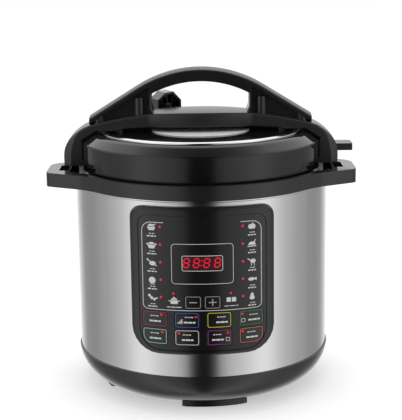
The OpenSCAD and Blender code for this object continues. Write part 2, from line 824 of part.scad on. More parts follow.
module panel_bezel() {
    post_x = key_pitch * 1.35;
    color([0.07, 0.07, 0.08]) difference() {
        union() {
            difference() {
                on_front(back_r, sleeve_r + bezel_proud / 2)
                    translate([0, bezel_z]) rounded(bezel_w, bezel_h, bezel_corner, bezel_low_corner);
                on_front(back_r + back_t, panel_r + 1) film_outline(FIT);
            }
            difference() {
                on_front(sleeve_r + bezel_proud / 2 - EPS, panel_r) translate([0, bezel_z])
                    rounded(bezel_w - 2 * bezel_step, bezel_h - 2 * bezel_step,
                        bezel_corner - bezel_step, bezel_low_corner - bezel_step);
                on_front(back_r + back_t, panel_r + 1) film_outline(FIT);
            }
            for (x = [-post_x, post_x])
                for (z = [small_key_z, display_z + display_h / 2 + 8])
                    intersection() {
                        along_y(-back_r - 1, -board_front - EPS) translate([x, z]) circle(3.2);
                        cylinder(r = back_r + 1, h = rim_z);
                    }
        }
        for (p = stem_places)
            along_y(-panel_r, -board_front - 0.5) translate(p) circle(stem_r + SEAT);
        along_y(-panel_r, -board_front - 0.5) translate([0, display_z])
            rounded(display_w - 2 * window_frame, display_h - 3 * window_frame, 2, 2);
        for (x = [-post_x, post_x])
            for (z = [small_key_z, display_z + display_h / 2 + 8])
                along_y(-board_front - 4, 0) translate([x, z]) circle(1.2);
    }
}

module panel_film() {
    color([0.09, 0.09, 0.1]) difference() {
        on_front(film_in, film_r) film_outline(0);
        along_y(-panel_r, -sleeve_r / 2) {
            for (i = [1:8]) key_outline(i, key_gap);
            for (side = [-1, 1]) small_outline(side * small_key_x, key_gap);
            translate([0, display_z]) rounded(display_w + 2 * FIT, display_h + 2 * FIT, 4, 4);
        }
    }
}

module display_window() {
    color([0.05, 0.02, 0.02])
        on_front(film_in, film_r) translate([0, display_z]) rounded(display_w, display_h, 4 - FIT, 4 - FIT);
}

module display_board() {
    w = key_pitch * 3 + 4;
    low = row2_z - 6;
    high = display_z + display_h / 2 + 14;
    lamp_depth = 8;
    color([0.16, 0.38, 0.22]) difference() {
        union() {
            translate([-w / 2, -board_front, low]) cube([w, board_t, high - low]);
            translate([-22, -board_front - lamp_depth, display_z - 8]) cube([44, lamp_depth + EPS, 16]);
            for (p = stem_places)
                translate([p[0] - 3, -board_front - switch_h, p[1] - 3]) cube([6, switch_h + EPS, 6]);
        }
        for (x = [-1, 1])
            for (z = [small_key_z, display_z + display_h / 2 + 8])
                along_y(-board_front - 1, -board_front + board_t + 1)
                    translate([x * key_pitch * 1.35, z]) circle(1.4);
    }
}

module key_1() { function_key(1); }
module key_2() { function_key(2); }
module key_3() { function_key(3); }
module key_4() { function_key(4); }
module key_5() { function_key(5); }
module key_6() { function_key(6); }
module key_7() { function_key(7); }
module key_8() { function_key(8); }

// ---------- inner pot ----------

module inner_pot() {
    color([0.8, 0.8, 0.82]) rotate_extrude() {
        difference() {
            cup_half(pot_r, pot_z, pot_rim_z + pot_rim_t / 2, pot_corner);
            cup_half(pot_in, pot_z + pot_t, pot_rim_z + pot_rim_t, pot_corner - pot_t);
        }
        difference() {
            union() {
                translate([pot_in, pot_rim_z]) square([pot_rim_r - pot_rim_t / 2 - pot_in, pot_rim_t]);
                translate([pot_rim_r - pot_rim_t / 2, pot_rim_z + pot_rim_t / 2]) circle(pot_rim_t / 2);
            }
            translate([pot_in - 1, pot_rim_z + pot_rim_t - 1.2]) square([1 + EPS, 2]);
        }
    }
}

// ---------- lid inside ----------

seal_h = 10.4;
seal_r = dome_in - 1.2;
seal_w = 11;
seal_wall = 3.6;
rack_z = seal_z + 4.8;
rack_t = 1;
dome_knuckle = 12;
valve_at = [-37, 55];
float_at = [37, 55];
pipe_r = 4;
float_r = 2.4;
float_stop_r = 3.4;
cap_r = 9;
stud_r = 3;
stud_boss_r = 7;
cover_gap = 0.6;
cover_stud_h = 5.5;
rack_r = seal_r - seal_wall - 1;

module sealing_ring() {
    lip = 2.4;
    color([0.86, 0.86, 0.84]) rotate_extrude() {
        translate([seal_r - seal_wall, seal_z]) square([seal_wall, seal_h]);
        translate([seal_r - seal_w, seal_z]) square([seal_w - 1, lip]);
        translate([seal_r - seal_w, seal_z + lip / 2]) circle(lip / 2);
        translate([seal_r - seal_w + 2, seal_z + seal_h - lip]) square([seal_w - 3, lip]);
        translate([seal_r - seal_w + 2, seal_z + seal_h - lip / 2]) circle(lip / 2);
    }
}

module lid_dome() {
    color([0.78, 0.78, 0.8]) difference() {
        union() {
            translate([0, 0, tab_z + dome_top_z]) mirror([0, 0, 1]) rotate_extrude() difference() {
                cup_half(dome_r, tab_z, dome_top_z, dome_knuckle);
                cup_half(dome_in, tab_z + dome_t, dome_top_z + 1, dome_knuckle - dome_t);
            }
            for (i = [0:lobe_n - 1])
                translate([0, 0, tab_z]) sector(dome_in + 0.5, tab_r, tab_t, i * FULL / lobe_n, tab_span);
            translate([0, 0, rack_z + rack_t])
                cylinder(r = stud_boss_r, h = dome_top_z - dome_t - rack_z - rack_t + EPS);
            translate([0, 0, dome_top_z - EPS]) cylinder(r = stud_r, h = cover_stud_h + EPS);
        }
        translate([valve_at[0], valve_at[1], tab_z]) cylinder(r = pipe_r + RUN, h = dome_top_z);
        translate([float_at[0], float_at[1], tab_z]) cylinder(r = float_r + 1.6, h = dome_top_z);
        translate([0, 0, tab_z]) cylinder(r = stud_r + RUN, h = dome_top_z - tab_z - dome_t - 2);
    }
}

module seal_rack() {
    holes = 12;
    color([0.75, 0.75, 0.77]) difference() {
        translate([0, 0, rack_z]) cylinder(r = rack_r, h = rack_t);
        translate([0, 0, rack_z - 1]) cylinder(r = stud_r + RUN, h = rack_t + 2);
        for (i = [0:holes - 1])
            rotate([0, 0, (i + 0.5) * FULL / holes]) translate([rack_r * 0.78, 0, rack_z - 1])
                cylinder(r = 7, h = rack_t + 2);
        for (p = [valve_at, float_at])
            translate([p[0], p[1], rack_z - 1]) cylinder(r = cap_r + 2, h = rack_t + 2);
    }
}

rack_nut_h = 3;

// Nut under the rack with the stud that runs up into the dome's boss
module rack_nut() {
    color([0.8, 0.8, 0.82]) {
        translate([0, 0, rack_z - rack_nut_h]) cylinder(r = stud_boss_r, h = rack_nut_h, $fn = 6);
        translate([0, 0, rack_z - EPS]) cylinder(r = stud_r, h = dome_top_z - dome_t - 3 - rack_z);
    }
}

// ---------- lid outside ----------

fin_y = 12;
fin_t = 7.2;
fin_z = edge_z - 13.5;

// Half section of the closed lid, as the bridge sits on it
module lid_half() {
    edge = 2.5;
    translate([0, lid_z]) square([lid_r, lid_wall_h - edge]);
    translate([0, lid_z]) square([lid_r - edge, lid_wall_h]);
    translate([lid_r - edge, edge_z - edge]) circle(edge);
    polygon([[0, edge_z - EPS], [lid_r - edge, edge_z - EPS], [shoulder_r, shoulder_z], [0, shoulder_z]]);
}

module lid_cover() {
    color([0.08, 0.08, 0.09]) difference() {
        union() {
            rotate_extrude() difference() {
                lid_half();
                polygon([[0, lid_z - 1], [lid_in, lid_z - 1], [lid_in, edge_z - cover_t],
                    [shoulder_r - 1, floor_z - cover_t], [0, floor_z - cover_t]]);
                translate([0, floor_z]) square([ring_in, 2]);
                translate([ring_in - EPS, floor_z - 0.8]) square([ring_w + 2 * EPS, 3]);
            }
            for (side = [-1, 1])
                for (y = [-boss_y, boss_y])
                    translate([side * boss_x, y, dome_top_z + cover_gap])
                        cylinder(r = 5, h = floor_z - cover_t - dome_top_z - cover_gap + EPS);
            translate([0, 0, dome_top_z]) cylinder(r = 9, h = floor_z - cover_t - dome_top_z + EPS);
        }
        translate([valve_at[0], valve_at[1], floor_z - cover_t - 1]) cylinder(r = pipe_r + 3, h = 9);
        translate([float_at[0], float_at[1], floor_z - cover_t - 1])
            cylinder(r = float_stop_r + 0.4, h = 9);
        translate([0, 0, dome_top_z - 1]) cylinder(r = stud_r + RUN, h = cover_stud_h + 1 + SEAT);
        for (side = [-1, 1])
            for (y = [-boss_y, boss_y])
                translate([side * boss_x, y, dome_top_z - 1])
                    cylinder(r = screw_r + RUN, h = shoulder_z - dome_top_z + 2);
    }
}

boss_x = 84;
boss_y = 9;
bridge_screw_l = 11;
bridge_head_h = cover_gap - 0.1;

module bridge_screws() {
    color([0.6, 0.6, 0.62])
        for (side = [-1, 1])
            for (y = [-boss_y, boss_y])
                translate([side * boss_x, y, dome_top_z + cover_gap - bridge_head_h]) {
                    cylinder(r = screw_r, h = bridge_head_h + bridge_screw_l);
                    cylinder(r = 3.4, h = bridge_head_h);
                }
}

module trim_ring() {
    color([0.85, 0.85, 0.87]) rotate_extrude() {
        translate([ring_in + FIT, floor_z - 0.8]) square([ring_w - 2 * FIT, 1.2]);
        intersection() {
            translate([ring_in + ring_w / 2, floor_z - 1.2]) circle(ring_w * 0.75);
            translate([ring_in + FIT, floor_z]) square([ring_w - 2 * FIT, 4]);
        }
    }
}

plate_t = 1.2;

module lid_plate() {
    edge = 0.6;
    color([0.82, 0.82, 0.84]) {
        translate([0, 0, floor_z]) cylinder(r = plate_r, h = plate_t - edge);
        translate([0, 0, floor_z + plate_t - edge]) cylinder(r1 = plate_r, r2 = plate_r - edge, h = edge);
    }
}

// ---------- bridge and handle ----------

crest_z = rim_z + bridge_rise;
arch_z = crest_z - arch_r;
bend_x = arm_x - bend_r;
crown_lift = 1.5;
bend_z = arch_z + sqrt(pow(arch_r + crown_lift - bend_r, 2) - bend_x * bend_x);
arm_z = rim_z + 1.7;
band_t = 8;
band_low = crest_z - 14;
crown = 2.2;
web_step = 3;
crown_r = (bridge_w * bridge_w + crown * crown) / (2 * crown);

// x-z outline of the bent bar's skin: the arch, a round bend each side, and the upright arms
module bar_outline(grow) {
    skin_r = arch_r + crown_lift + grow;
    intersection() {
        translate([0, arch_z]) circle(skin_r, $fn = 200);
        translate([-bend_x, arm_z]) square([2 * bend_x, bridge_rise + 10]);
    }
    for (side = [-1, 1]) translate([side * bend_x, bend_z]) circle(bend_r + grow);
    translate([-arm_x - grow, arm_z]) square([2 * (arm_x + grow), bend_z - arm_z]);
}

// The bar as a solid: the arch is crowned from front to back
module bent_bar(grow) {
    intersection() {
        along_y(-bridge_w - 1, bridge_w + 1) bar_outline(grow);
        translate([0, 0, arch_z]) rotate([90, 0, 0]) rotate_extrude($fn = 200) intersection() {
            translate([0, -bridge_w - 2]) square([arch_r + grow + 1, 2 * bridge_w + 4]);
            translate([arch_r + grow - crown_r, 0]) circle(crown_r, $fn = 200);
        }
    }
}

// Plan of the bridge: straight over the arms, bellied in the middle
module bridge_plan(inset) {
    belly_r = 143;
    translate([-arm_x - 2, -arm_w + inset]) square([2 * arm_x + 4, 2 * (arm_w - inset)]);
    intersection() {
        translate([0, belly_r - bridge_w + inset]) circle(belly_r, $fn = 200);
        translate([0, -belly_r + bridge_w - inset]) circle(belly_r, $fn = 200);
    }
}

// x-z outline under the band: what lies below it is set back
module under_band() {
    inner_x = arm_x - band_t;
    inner_r = bend_r - band_t;
    low_r = 1400;
    translate([-inner_x, arm_z - 1]) square([2 * inner_x, bend_z - arm_z + 1]);
    intersection() {
        translate([0, band_low - low_r]) circle(low_r, $fn = 200);
        union() {
            for (side = [-1, 1]) translate([side * (inner_x - inner_r), bend_z]) circle(inner_r);
            translate([-inner_x + inner_r, arm_z]) square([2 * (inner_x - inner_r), bridge_rise]);
        }
    }
}

module bridge() {
    color([0.07, 0.07, 0.08]) {
        difference() {
            intersection() {
                bent_bar(0);
                translate([0, 0, arm_z]) linear_extrude(crest_z) bridge_plan(0);
                union() {
                    translate([0, 0, arm_z]) linear_extrude(crest_z) bridge_plan(web_step);
                    difference() {
                        translate([-arm_x - 1, -bridge_w - 1, arm_z])
                            cube([2 * arm_x + 2, 2 * bridge_w + 2, crest_z]);
                        along_y(-bridge_w - 2, bridge_w + 2) under_band();
                    }
                }
            }
            rotate_extrude() difference() {
                union() {
                    lid_half();
                    translate([0, lid_z]) square([lid_r + FIT * 2, lid_wall_h - 2]);
                    translate([ring_in, floor_z - 1]) square([ring_w, 4]);
                }
                translate([-EPS, floor_z + FIT]) square([ring_in, 9]);
            }
            translate([0, 0, floor_z - 1]) cylinder(r = plate_r + FIT, h = 1 + plate_t + FIT);
            for (side = [-1, 1])
                for (y = [-boss_y, boss_y])
                    translate([side * boss_x, y, floor_z - 3]) cylinder(r = screw_r + RUN, h = 12);
        }
        translate([arm_x - band_t, 0, 0]) fin();
    }
}

// Tongue on the right arm that stands the lid up in an ear's slot
module fin() {
    reach = ear_x - arm_x + band_t;
    corner = 5;
    translate([0, 0, fin_z]) linear_extrude(fin_t) {
        translate([0, -fin_y]) square([reach, 2 * fin_y - corner]);
        translate([0, -fin_y]) square([reach - corner, 2 * fin_y]);
        translate([reach - corner, fin_y - corner]) circle(corner);
    }
}

handle_z = crest_z + handle_rise;
handle_x = arm_x - 27;
slope_x = 65;
slope_a = asin(slope_x / handle_arc_r);
slope_z = handle_z - handle_arc_r + sqrt(handle_arc_r * handle_arc_r - slope_x * slope_x);
end_z = slope_z - (handle_x - slope_x) * tan(slope_a);
grip_arc_r = 107;
column_r = 6;
recess = 5.5;
leg_front = 3;
leg_back = 16;
column_x = grip_half + leg_front + 1.5 + column_r;
top_strip = 5;

// x-z outline of the handle's outside
module handle_outline(drop) {
    low = arm_z + 20;
    intersection() {
        translate([0, handle_z - handle_arc_r]) circle(handle_arc_r - drop);
        translate([-slope_x, low]) square([2 * slope_x, handle_z]);
    }
    drop_z = drop / cos(slope_a);
    inner_x = slope_x - drop * sin(slope_a);
    polygon([[-handle_x, low], [handle_x, low], [handle_x, end_z - drop_z],
        [inner_x, slope_z - drop * cos(slope_a)], [-inner_x, slope_z - drop * cos(slope_a)],
        [-handle_x, end_z - drop_z]]);
}

module handle() {
    color([0.07, 0.07, 0.08]) difference() {
        union() {
            difference() {
                along_y(-handle_w, handle_w) handle_outline(0);
                for (y = [-handle_w - 1, handle_w - recess])
                    for (side = [0, 1])
                        mirror([side, 0, 0]) along_y(y, y + recess + 1) intersection() {
                            handle_outline(top_strip);
                            translate([grip_half + leg_front, arm_z])
                                square([handle_x - grip_half - leg_front - leg_back, 90]);
                        }
            }
            intersection() {
                along_y(-handle_w, handle_w) handle_outline(1);
                for (side = [-1, 1])
                    for (x = [-1, 1])
                        translate([x * column_x, side * (handle_w - column_r), arm_z])
                            cylinder(r = column_r, h = 90);
            }
        }
        bent_bar(FIT);
        along_y(-handle_w - 1, handle_w + 1) intersection() {
            translate([0, handle_z - grip_t - grip_arc_r]) circle(grip_arc_r);
            translate([-grip_half, arm_z]) square([2 * grip_half, 100]);
        }
    }
}

// ---------- steam valve and float ----------

knob_r = 15.5;
knob_z = floor_z + 4.5;
knob_h = 30;
pipe_top = knob_z + 14;
pipe_bottom = dome_top_z - dome_t - 3;
nut_t = 2.5;

module steam_pipe() {
    color([0.75, 0.75, 0.77]) translate([valve_at[0], valve_at[1], 0]) difference() {
        union() {
            translate([0, 0, pipe_bottom]) cylinder(r = pipe_r, h = pipe_top - pipe_bottom);
            translate([0, 0, dome_top_z]) cylinder(r = pipe_r + 2.5, h = 1.5);
        }
        translate([0, 0, pipe_bottom - 1]) cylinder(r = 1.6, h = pipe_top - pipe_bottom + 2);
    }
}

module pipe_nut() {
    color([0.75, 0.75, 0.77])
        translate([valve_at[0], valve_at[1], dome_top_z - dome_t - nut_t]) difference() {
            cylinder(r = 7.5, h = nut_t, $fn = 6);
            translate([0, 0, -1]) cylinder(r = pipe_r + RUN, h = nut_t + 2);
        }
}

// Slotted cap that keeps food out of the pipe
module anti_block_cap() {
    h = 9;
    cap_z = dome_top_z - dome_t - h;
    color([0.78, 0.78, 0.8]) translate([valve_at[0], valve_at[1], cap_z]) difference() {
        cylinder(r = cap_r, h = h);
        translate([0, 0, 1]) cylinder(r = cap_r - 0.8, h = h);
        for (a = [0:30:330])
            rotate([0, 0, a]) translate([cap_r - 2, -0.9, 2]) cube([3, 1.8, h - 4]);
    }
}

float_seat_h = 1.5;

// Rubber grommet in the dome that the float's pin slides in
module float_seat() {
    color([0.7, 0.25, 0.2]) translate([float_at[0], float_at[1], dome_top_z]) difference() {
        union() {
            cylinder(r = float_r + 3.2, h = float_seat_h);
            translate([0, 0, -dome_t - 1]) cylinder(r = float_r + 1.6 - RUN, h = dome_t + 1 + EPS);
        }
        translate([0, 0, -dome_t - 2]) cylinder(r = float_r + 0.1, h = float_seat_h + dome_t + 3);
    }
}

float_travel = 5;
float_low_z = dome_top_z - dome_t - 1.5 - float_travel;

// Pin that the steam lifts until its top stands out of the lid
module float_pin() {
    color([0.75, 0.2, 0.18]) translate([float_at[0], float_at[1], float_low_z]) {
        translate([0, 0, -2]) cylinder(r = 5, h = 2);
        cylinder(r = float_r, h = floor_z - float_low_z + 0.4);
        translate([0, 0, dome_top_z + float_seat_h + SEAT - float_low_z])
            cylinder(r = float_stop_r, h = 1.5);
    }
}

// Notched knob over the steam pipe: turning it opens the vent
module valve_knob() {
    teeth = 8;
    color([0.06, 0.06, 0.07]) translate([valve_at[0], valve_at[1], knob_z]) difference() {
        union() {
            cylinder(r = knob_r - 3, h = knob_h - 6);
            cylinder(r = knob_r - 1, h = 4);
            for (i = [0:teeth - 1])
                rotate([0, 0, i * FULL / teeth]) translate([0, -3, 0]) cube([knob_r, 6, knob_h - 8]);
            translate([0, 0, knob_h - 9]) cylinder(r = knob_r, h = 6);
            translate([0, 0, knob_h - 3 - EPS]) cylinder(r1 = knob_r, r2 = knob_r - 3, h = 3);
        }
        translate([0, 0, -1]) cylinder(r = pipe_r + RUN, h = pipe_top - knob_z + 1 + SEAT);
        translate([-knob_r, -1.5, knob_h - 2]) cube([knob_r * 2, 3, 4]);
    }
}

feet();
base_shell();
base_screws();
outer_sleeve();
rim_collar();
ear_brackets();
ear_screws();
outer_vessel();
vessel_bracket();
heating_plate();
probe_guide();
probe_spring();
temp_probe();
thermal_fuse();
pressure_switch();
power_board();
power_inlet();
cup_holder();
condensate_cup();
panel_bezel();
panel_film();
display_window();
display_board();
key_minus();
key_plus();
key_1();
key_2();
key_3();
key_4();
key_5();
key_6();
key_7();
key_8();
inner_pot();
sealing_ring();
lid_dome();
seal_rack();
rack_nut();
lid_cover();
trim_ring();
lid_plate();
bridge();
handle();
bridge_screws();
steam_pipe();
pipe_nut();
anti_block_cap();
float_seat();
float_pin();
valve_knob();
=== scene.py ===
# Electric pressure cooker: the finished skins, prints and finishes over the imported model.
# Shapes are drawn in millimetres and scaled to metres when a piece is finished.
import json
import math

import bmesh
import bpy
from mathutils import Matrix, Vector


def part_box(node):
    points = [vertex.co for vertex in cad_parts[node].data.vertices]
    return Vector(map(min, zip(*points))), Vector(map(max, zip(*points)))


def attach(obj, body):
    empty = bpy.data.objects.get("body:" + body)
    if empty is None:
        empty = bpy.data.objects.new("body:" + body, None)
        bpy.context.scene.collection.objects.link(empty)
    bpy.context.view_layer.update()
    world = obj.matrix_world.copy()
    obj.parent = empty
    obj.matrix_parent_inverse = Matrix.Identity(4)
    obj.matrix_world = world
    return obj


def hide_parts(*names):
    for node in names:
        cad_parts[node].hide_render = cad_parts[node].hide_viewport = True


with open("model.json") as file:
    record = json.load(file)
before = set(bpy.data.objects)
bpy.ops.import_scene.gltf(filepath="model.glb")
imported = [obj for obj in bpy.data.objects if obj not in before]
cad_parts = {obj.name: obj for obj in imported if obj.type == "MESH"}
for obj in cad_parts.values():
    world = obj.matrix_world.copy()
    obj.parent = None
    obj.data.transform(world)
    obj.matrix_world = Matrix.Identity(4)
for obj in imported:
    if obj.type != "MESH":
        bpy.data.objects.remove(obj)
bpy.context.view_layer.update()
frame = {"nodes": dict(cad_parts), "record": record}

MM = 0.001
FULL = 2 * math.pi

record = frame["record"]
body_of = {node: body for body, nodes in record["behaviour"]["bodies"].items() for node in nodes}
slot_of = {part["node"]: part["material_slot"] for part in record["subparts"]}


def low(node):
    """Lowest corner of a node, in millimetres."""
    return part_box(node)[0] / MM


def high(node):
    """Highest corner of a node, in millimetres."""
    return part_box(node)[1] / MM


# ---------- sizes in millimetres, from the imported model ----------

sleeve_r = high("outer_sleeve").x
sleeve_foot = low("outer_sleeve").z
sleeve_top = high("outer_sleeve").z
collar_z = sleeve_top
rim_z = high("rim_collar").z
ear_x = high("rim_collar").x
ear_front = 50.0
ear_back = 12.0
collar_r = sleeve_r + 2.6
gutter_r = collar_r - 5.1
gutter_z = rim_z - 8.0
vessel_r = high("outer_vessel").x - 4.0
lid_r = high("lid_cover").x
lid_z = low("lid_cover").z
shoulder_z = high("lid_cover").z
shoulder_r = high("trim_ring").x + 2.15
floor_z = shoulder_z - 1.0
plate_r = high("lid_plate").x
arm_x = -low("bridge").x
arm_w = 20.0
arm_z = low("bridge").z
crest_z = high("bridge").z
handle_x = high("handle").x
handle_w = high("handle").y
handle_z = high("handle").z
film_r = -low("panel_film").y
bezel_low, bezel_high = low("panel_bezel"), high("panel_bezel")
bezel_w = bezel_high.x - bezel_low.x
bezel_h = bezel_high.z - bezel_low.z
bezel_z = (bezel_high.z + bezel_low.z) / 2
panel_r = -bezel_low.y


# ---------- shader tools ----------

class Wire:
    """A shader socket on which sums can be written."""

    def __init__(self, tree, socket):
        self.tree = tree
        self.socket = socket

    def maths(self, operation, *others):
        """A Math node with this socket as its first value."""
        inputs = dict(enumerate((self,) + others))
        return self.tree.add("ShaderNodeMath", {"operation": operation}, inputs)

    def __add__(self, other):
        return self.maths("ADD", other)

    def __mul__(self, other):
        return self.maths("MULTIPLY", other)

    __radd__, __rmul__ = __add__, __mul__

    def __sub__(self, other):
        return self.maths("SUBTRACT", other)

    def __rsub__(self, other):
        return self.tree.add("ShaderNodeMath", {"operation": "SUBTRACT"}, {0: other, 1: self})

    def __truediv__(self, other):
        return self.maths("DIVIDE", other)

    def above(self, edge):
        """1 where the value is over the edge, otherwise 0."""
        return self.maths("GREATER_THAN", edge)

    def clipped(self):
        return self.tree.add("ShaderNodeClamp", {}, {"Value": self})


class Tree:
    """The nodes of one material or of the world."""

    def __init__(self, owner):
        owner.use_nodes = True
        self.nodes = owner.node_tree.nodes
        self.links = owner.node_tree.links
        self.nodes.clear()

    def add(self, kind, settings=None, inputs=None, output=0):
        """One node: its settings first, then the values or links of its sockets."""
        node = self.nodes.new(kind)
        for key, value in (settings or {}).items():
            if key == "stops":
                ramp = node.color_ramp.elements
                while len(ramp) < len(value):
                    ramp.new(1.0)
                for stop, (at, colour) in zip(ramp, value):
                    stop.position = at
                    stop.color = colour
            else:
                setattr(node, key, value)
        for key, value in (inputs or {}).items():
            if isinstance(value, Wire):
                self.links.new(value.socket, node.inputs[key])
            else:
                node.inputs[key].default_value = value
        return Wire(self, node.outputs[output]) if node.outputs else None

    def place(self, stretch=(1, 1, 1)):
        """Object coordinates, each axis multiplied by its stretch."""
        coords = self.add("ShaderNodeTexCoord", output="Object")
        return self.add("ShaderNodeVectorMath", {"operation": "MULTIPLY"}, {0: coords, 1: stretch})

    def axes(self, vector):
        """The x, y and z of a vector."""
        split = self.add("ShaderNodeSeparateXYZ", {}, {0: vector})
        outputs = split.socket.node.outputs
        return [Wire(self, outputs[i]) for i in range(3)]

    def noise(self, scale, detail=2.0, stretch=(1, 1, 1)):
        inputs = {"Vector": self.place(stretch), "Scale": scale, "Detail": detail}
        return self.add("ShaderNodeTexNoise", {}, inputs)

    def blend(self, factor, first, second):
        """Mix of two colours."""
        settings = {"data_type": "RGBA"}
        return self.add("ShaderNodeMix", settings, {0: factor, 6: first, 7: second}, output=2)

    def shades(self, factor, colour, darker):
        """Mix of a colour times a number below 1 and the colour itself."""
        return self.blend(factor, rgb(*[c * darker for c in colour]), rgb(*colour))

    def bump(self, height, strength, distance):
        inputs = {"Height": height, "Strength": strength, "Distance": distance}
        return self.add("ShaderNodeBump", {}, inputs)


def rgb(red, green, blue):
    return (red, green, blue, 1.0)


def finish(name):
    """A new material and its node tree."""
    material = bpy.data.materials.new(name)
    tree = Tree(material)
    return material, tree


def close(tree, **sockets):
    """Ends a tree with one Principled shader, its sockets named with _ for a blank."""
    inputs = {key.replace("_", " "): value for key, value in sockets.items()}
    shader = tree.add("ShaderNodeBsdfPrincipled", {}, inputs)
    tree.add("ShaderNodeOutputMaterial", {}, {"Surface": shader})


# ---------- finishes ----------

def moulded(name, dark, light, roughness, grain):
    """Injection-moulded plastic: slow changes of shade and a very fine texture."""
    material, tree = finish(name)
    clouds = tree.noise(22.0, 3.0)
    skin = tree.noise(1400.0, 2.0)
    shade = tree.blend(clouds, rgb(*dark), rgb(*light))
    close(tree, Base_Color=shade, Roughness=roughness + clouds * 0.04 + skin * 0.02,
          Normal=tree.bump(skin, grain, 0.00003), IOR=1.5)
    return material


def brushed(name, colour, roughness, stretch, depth=0.06, uneven=0.07, metallic=1.0):
    """Brushed metal, its lines running along the axes with the small stretch."""
    material, tree = finish(name)
    lines = tree.noise(1.0, 4.0, stretch)
    wide = tree.noise(9.0, 2.0)
    shade = tree.shades(lines * 0.6 + wide * 0.4, colour, 0.9)
    close(tree, Base_Color=shade, Metallic=metallic, Roughness=roughness + (lines - 0.5) * uneven,
          Normal=tree.bump(lines, depth, 0.00002))
    return material


black = moulded("black_moulding", (0.006, 0.006, 0.007), (0.009, 0.009, 0.0105), 0.04, 0.01)
satin_black = moulded("satin_moulding", (0.021, 0.021, 0.0228), (0.030, 0.030, 0.0325), 0.24, 0.08)
rim_black = moulded("rim_moulding", (0.011, 0.011, 0.012), (0.017, 0.017, 0.0185), 0.13, 0.04)
base_black = moulded("base_moulding", (0.010, 0.010, 0.011), (0.015, 0.015, 0.016), 0.16, 0.06)
film_black = moulded("keypad_film", (0.008, 0.008, 0.009), (0.011, 0.011, 0.012), 0.05, 0.01)
rubber_black = moulded("foot_rubber", (0.02, 0.02, 0.02), (0.035, 0.035, 0.036), 0.6, 0.3)
steel = brushed("sleeve_steel", (0.66, 0.66, 0.665), 0.13, (6, 6, 2600), 0.05, 0.05)
inner_steel = brushed("vessel_steel", (0.66, 0.66, 0.67), 0.26, (6, 6, 1500))
sheet_steel = brushed("sheet_steel", (0.56, 0.56, 0.57), 0.36, (900, 40, 40))
screw_steel = brushed("screw_steel", (0.66, 0.66, 0.68), 0.24, (300, 300, 300))
trim_chrome = brushed("trim_chrome", (0.86, 0.86, 0.87), 0.09, (20, 20, 900), 0.01, 0.03)
plate_satin = brushed("plate_satin", (0.88, 0.88, 0.88), 0.5, (1600, 12, 12), 0.10, metallic=0.12)
heater_cast = brushed("heater_casting", (0.60, 0.60, 0.61), 0.42, (160, 160, 160), 0.25)
seal_white = moulded("seal_silicone", (0.66, 0.66, 0.64), (0.74, 0.74, 0.72), 0.42, 0.1)
seat_red = moulded("float_silicone", (0.42, 0.05, 0.04), (0.5, 0.07, 0.05), 0.45, 0.1)
pin_red = moulded("float_pin_red", (0.50, 0.03, 0.03), (0.56, 0.04, 0.035), 0.28, 0.05)
board_green = moulded("board_green", (0.015, 0.09, 0.04), (0.03, 0.15, 0.06), 0.45, 0.1)
ceramic = moulded("fuse_ceramic", (0.62, 0.60, 0.52), (0.72, 0.70, 0.62), 0.55, 0.2)
switch_dark = moulded("switch_moulding", (0.03, 0.03, 0.033), (0.05, 0.05, 0.053), 0.4, 0.1)


def clear_plastic():
    material, tree = finish("cup_clear")
    haze = tree.noise(60.0, 2.0)
    close(tree, Base_Color=tree.blend(haze, rgb(0.60, 0.64, 0.66), rgb(0.7, 0.73, 0.74)),
          Roughness=0.08 + haze * 0.06, Alpha=0.2 + haze * 0.05, IOR=1.49)
    return material


cup_clear = clear_plastic()


def ribbed_grip():
    """Handle plastic with fine cross ribs moulded into the top of the grip."""
    rib_pitch, half_band = 2.4 * MM, 14.5 * MM
    material, tree = finish("handle_moulding")
    x, y, z = tree.axes(tree.place())
    upward = tree.axes(tree.add("ShaderNodeNewGeometry", output="Normal"))[2]
    waves = (x * (FULL / rib_pitch)).maths("SINE")
    on_grip = upward.above(0.55) * z.above((handle_z - 50) * MM)
    ribs = on_grip * (half_band - y.maths("ABSOLUTE")).above(0.0)
    clouds = tree.noise(22.0, 3.0)
    close(tree, Base_Color=tree.blend(clouds, rgb(0.010, 0.010, 0.011), rgb(0.016, 0.016, 0.017)),
          Roughness=0.2 + ribs * 0.12 + clouds * 0.05, Normal=tree.bump(waves * ribs, 0.8, 0.0006), IOR=1.5)
    return material


handle_black = ribbed_grip()


def ink(name, colour):
    """Printed ink, slightly uneven."""
    material, tree = finish(name)
    grain = tree.noise(900.0, 2.0)
    close(tree, Base_Color=tree.shades(grain, colour, 0.86), Roughness=0.36 + grain * 0.08)
    return material


def lamp_red(name, colour, strength):
    """Lit red segment behind the film."""
    material, tree = finish(name)
    grain = tree.noise(500.0, 2.0)
    close(tree, Base_Color=tree.blend(grain, rgb(0.2, 0.0, 0.01), rgb(0.26, 0.0, 0.015)), Roughness=0.3,
          Emission_Color=tree.shades(grain, colour, 0.8), Emission_Strength=strength)
    return material


ink_white = ink("ink_white", (0.80, 0.80, 0.80))
ink_dim = ink("ink_dim", (0.42, 0.42, 0.42))
pad_inks = [ink("ink_" + name, colour) for name, colour in (
    ("crimson", (0.34, 0.02, 0.07)), ("blue", (0.03, 0.12, 0.50)), ("yellow", (0.68, 0.62, 0.03)),
    ("green", (0.05, 0.20, 0.09)), ("mint", (0.30, 0.66, 0.52)), ("rose", (0.78, 0.68, 0.70)),
    ("magenta", (0.30, 0.03, 0.22)), ("orange", (0.60, 0.18, 0.06)))]
led_red = lamp_red("led_red", (0.85, 0.01, 0.05), 0.75)
window_red = ink("window_red", (0.04, 0.001, 0.003))


# ---------- modelling tools ----------

def turn(mesh, axis, degrees, verts=None):
    bmesh.ops.rotate(mesh, cent=(0, 0, 0), matrix=Matrix.Rotation(math.radians(degrees), 3, axis),
                     verts=list(verts or mesh.verts))


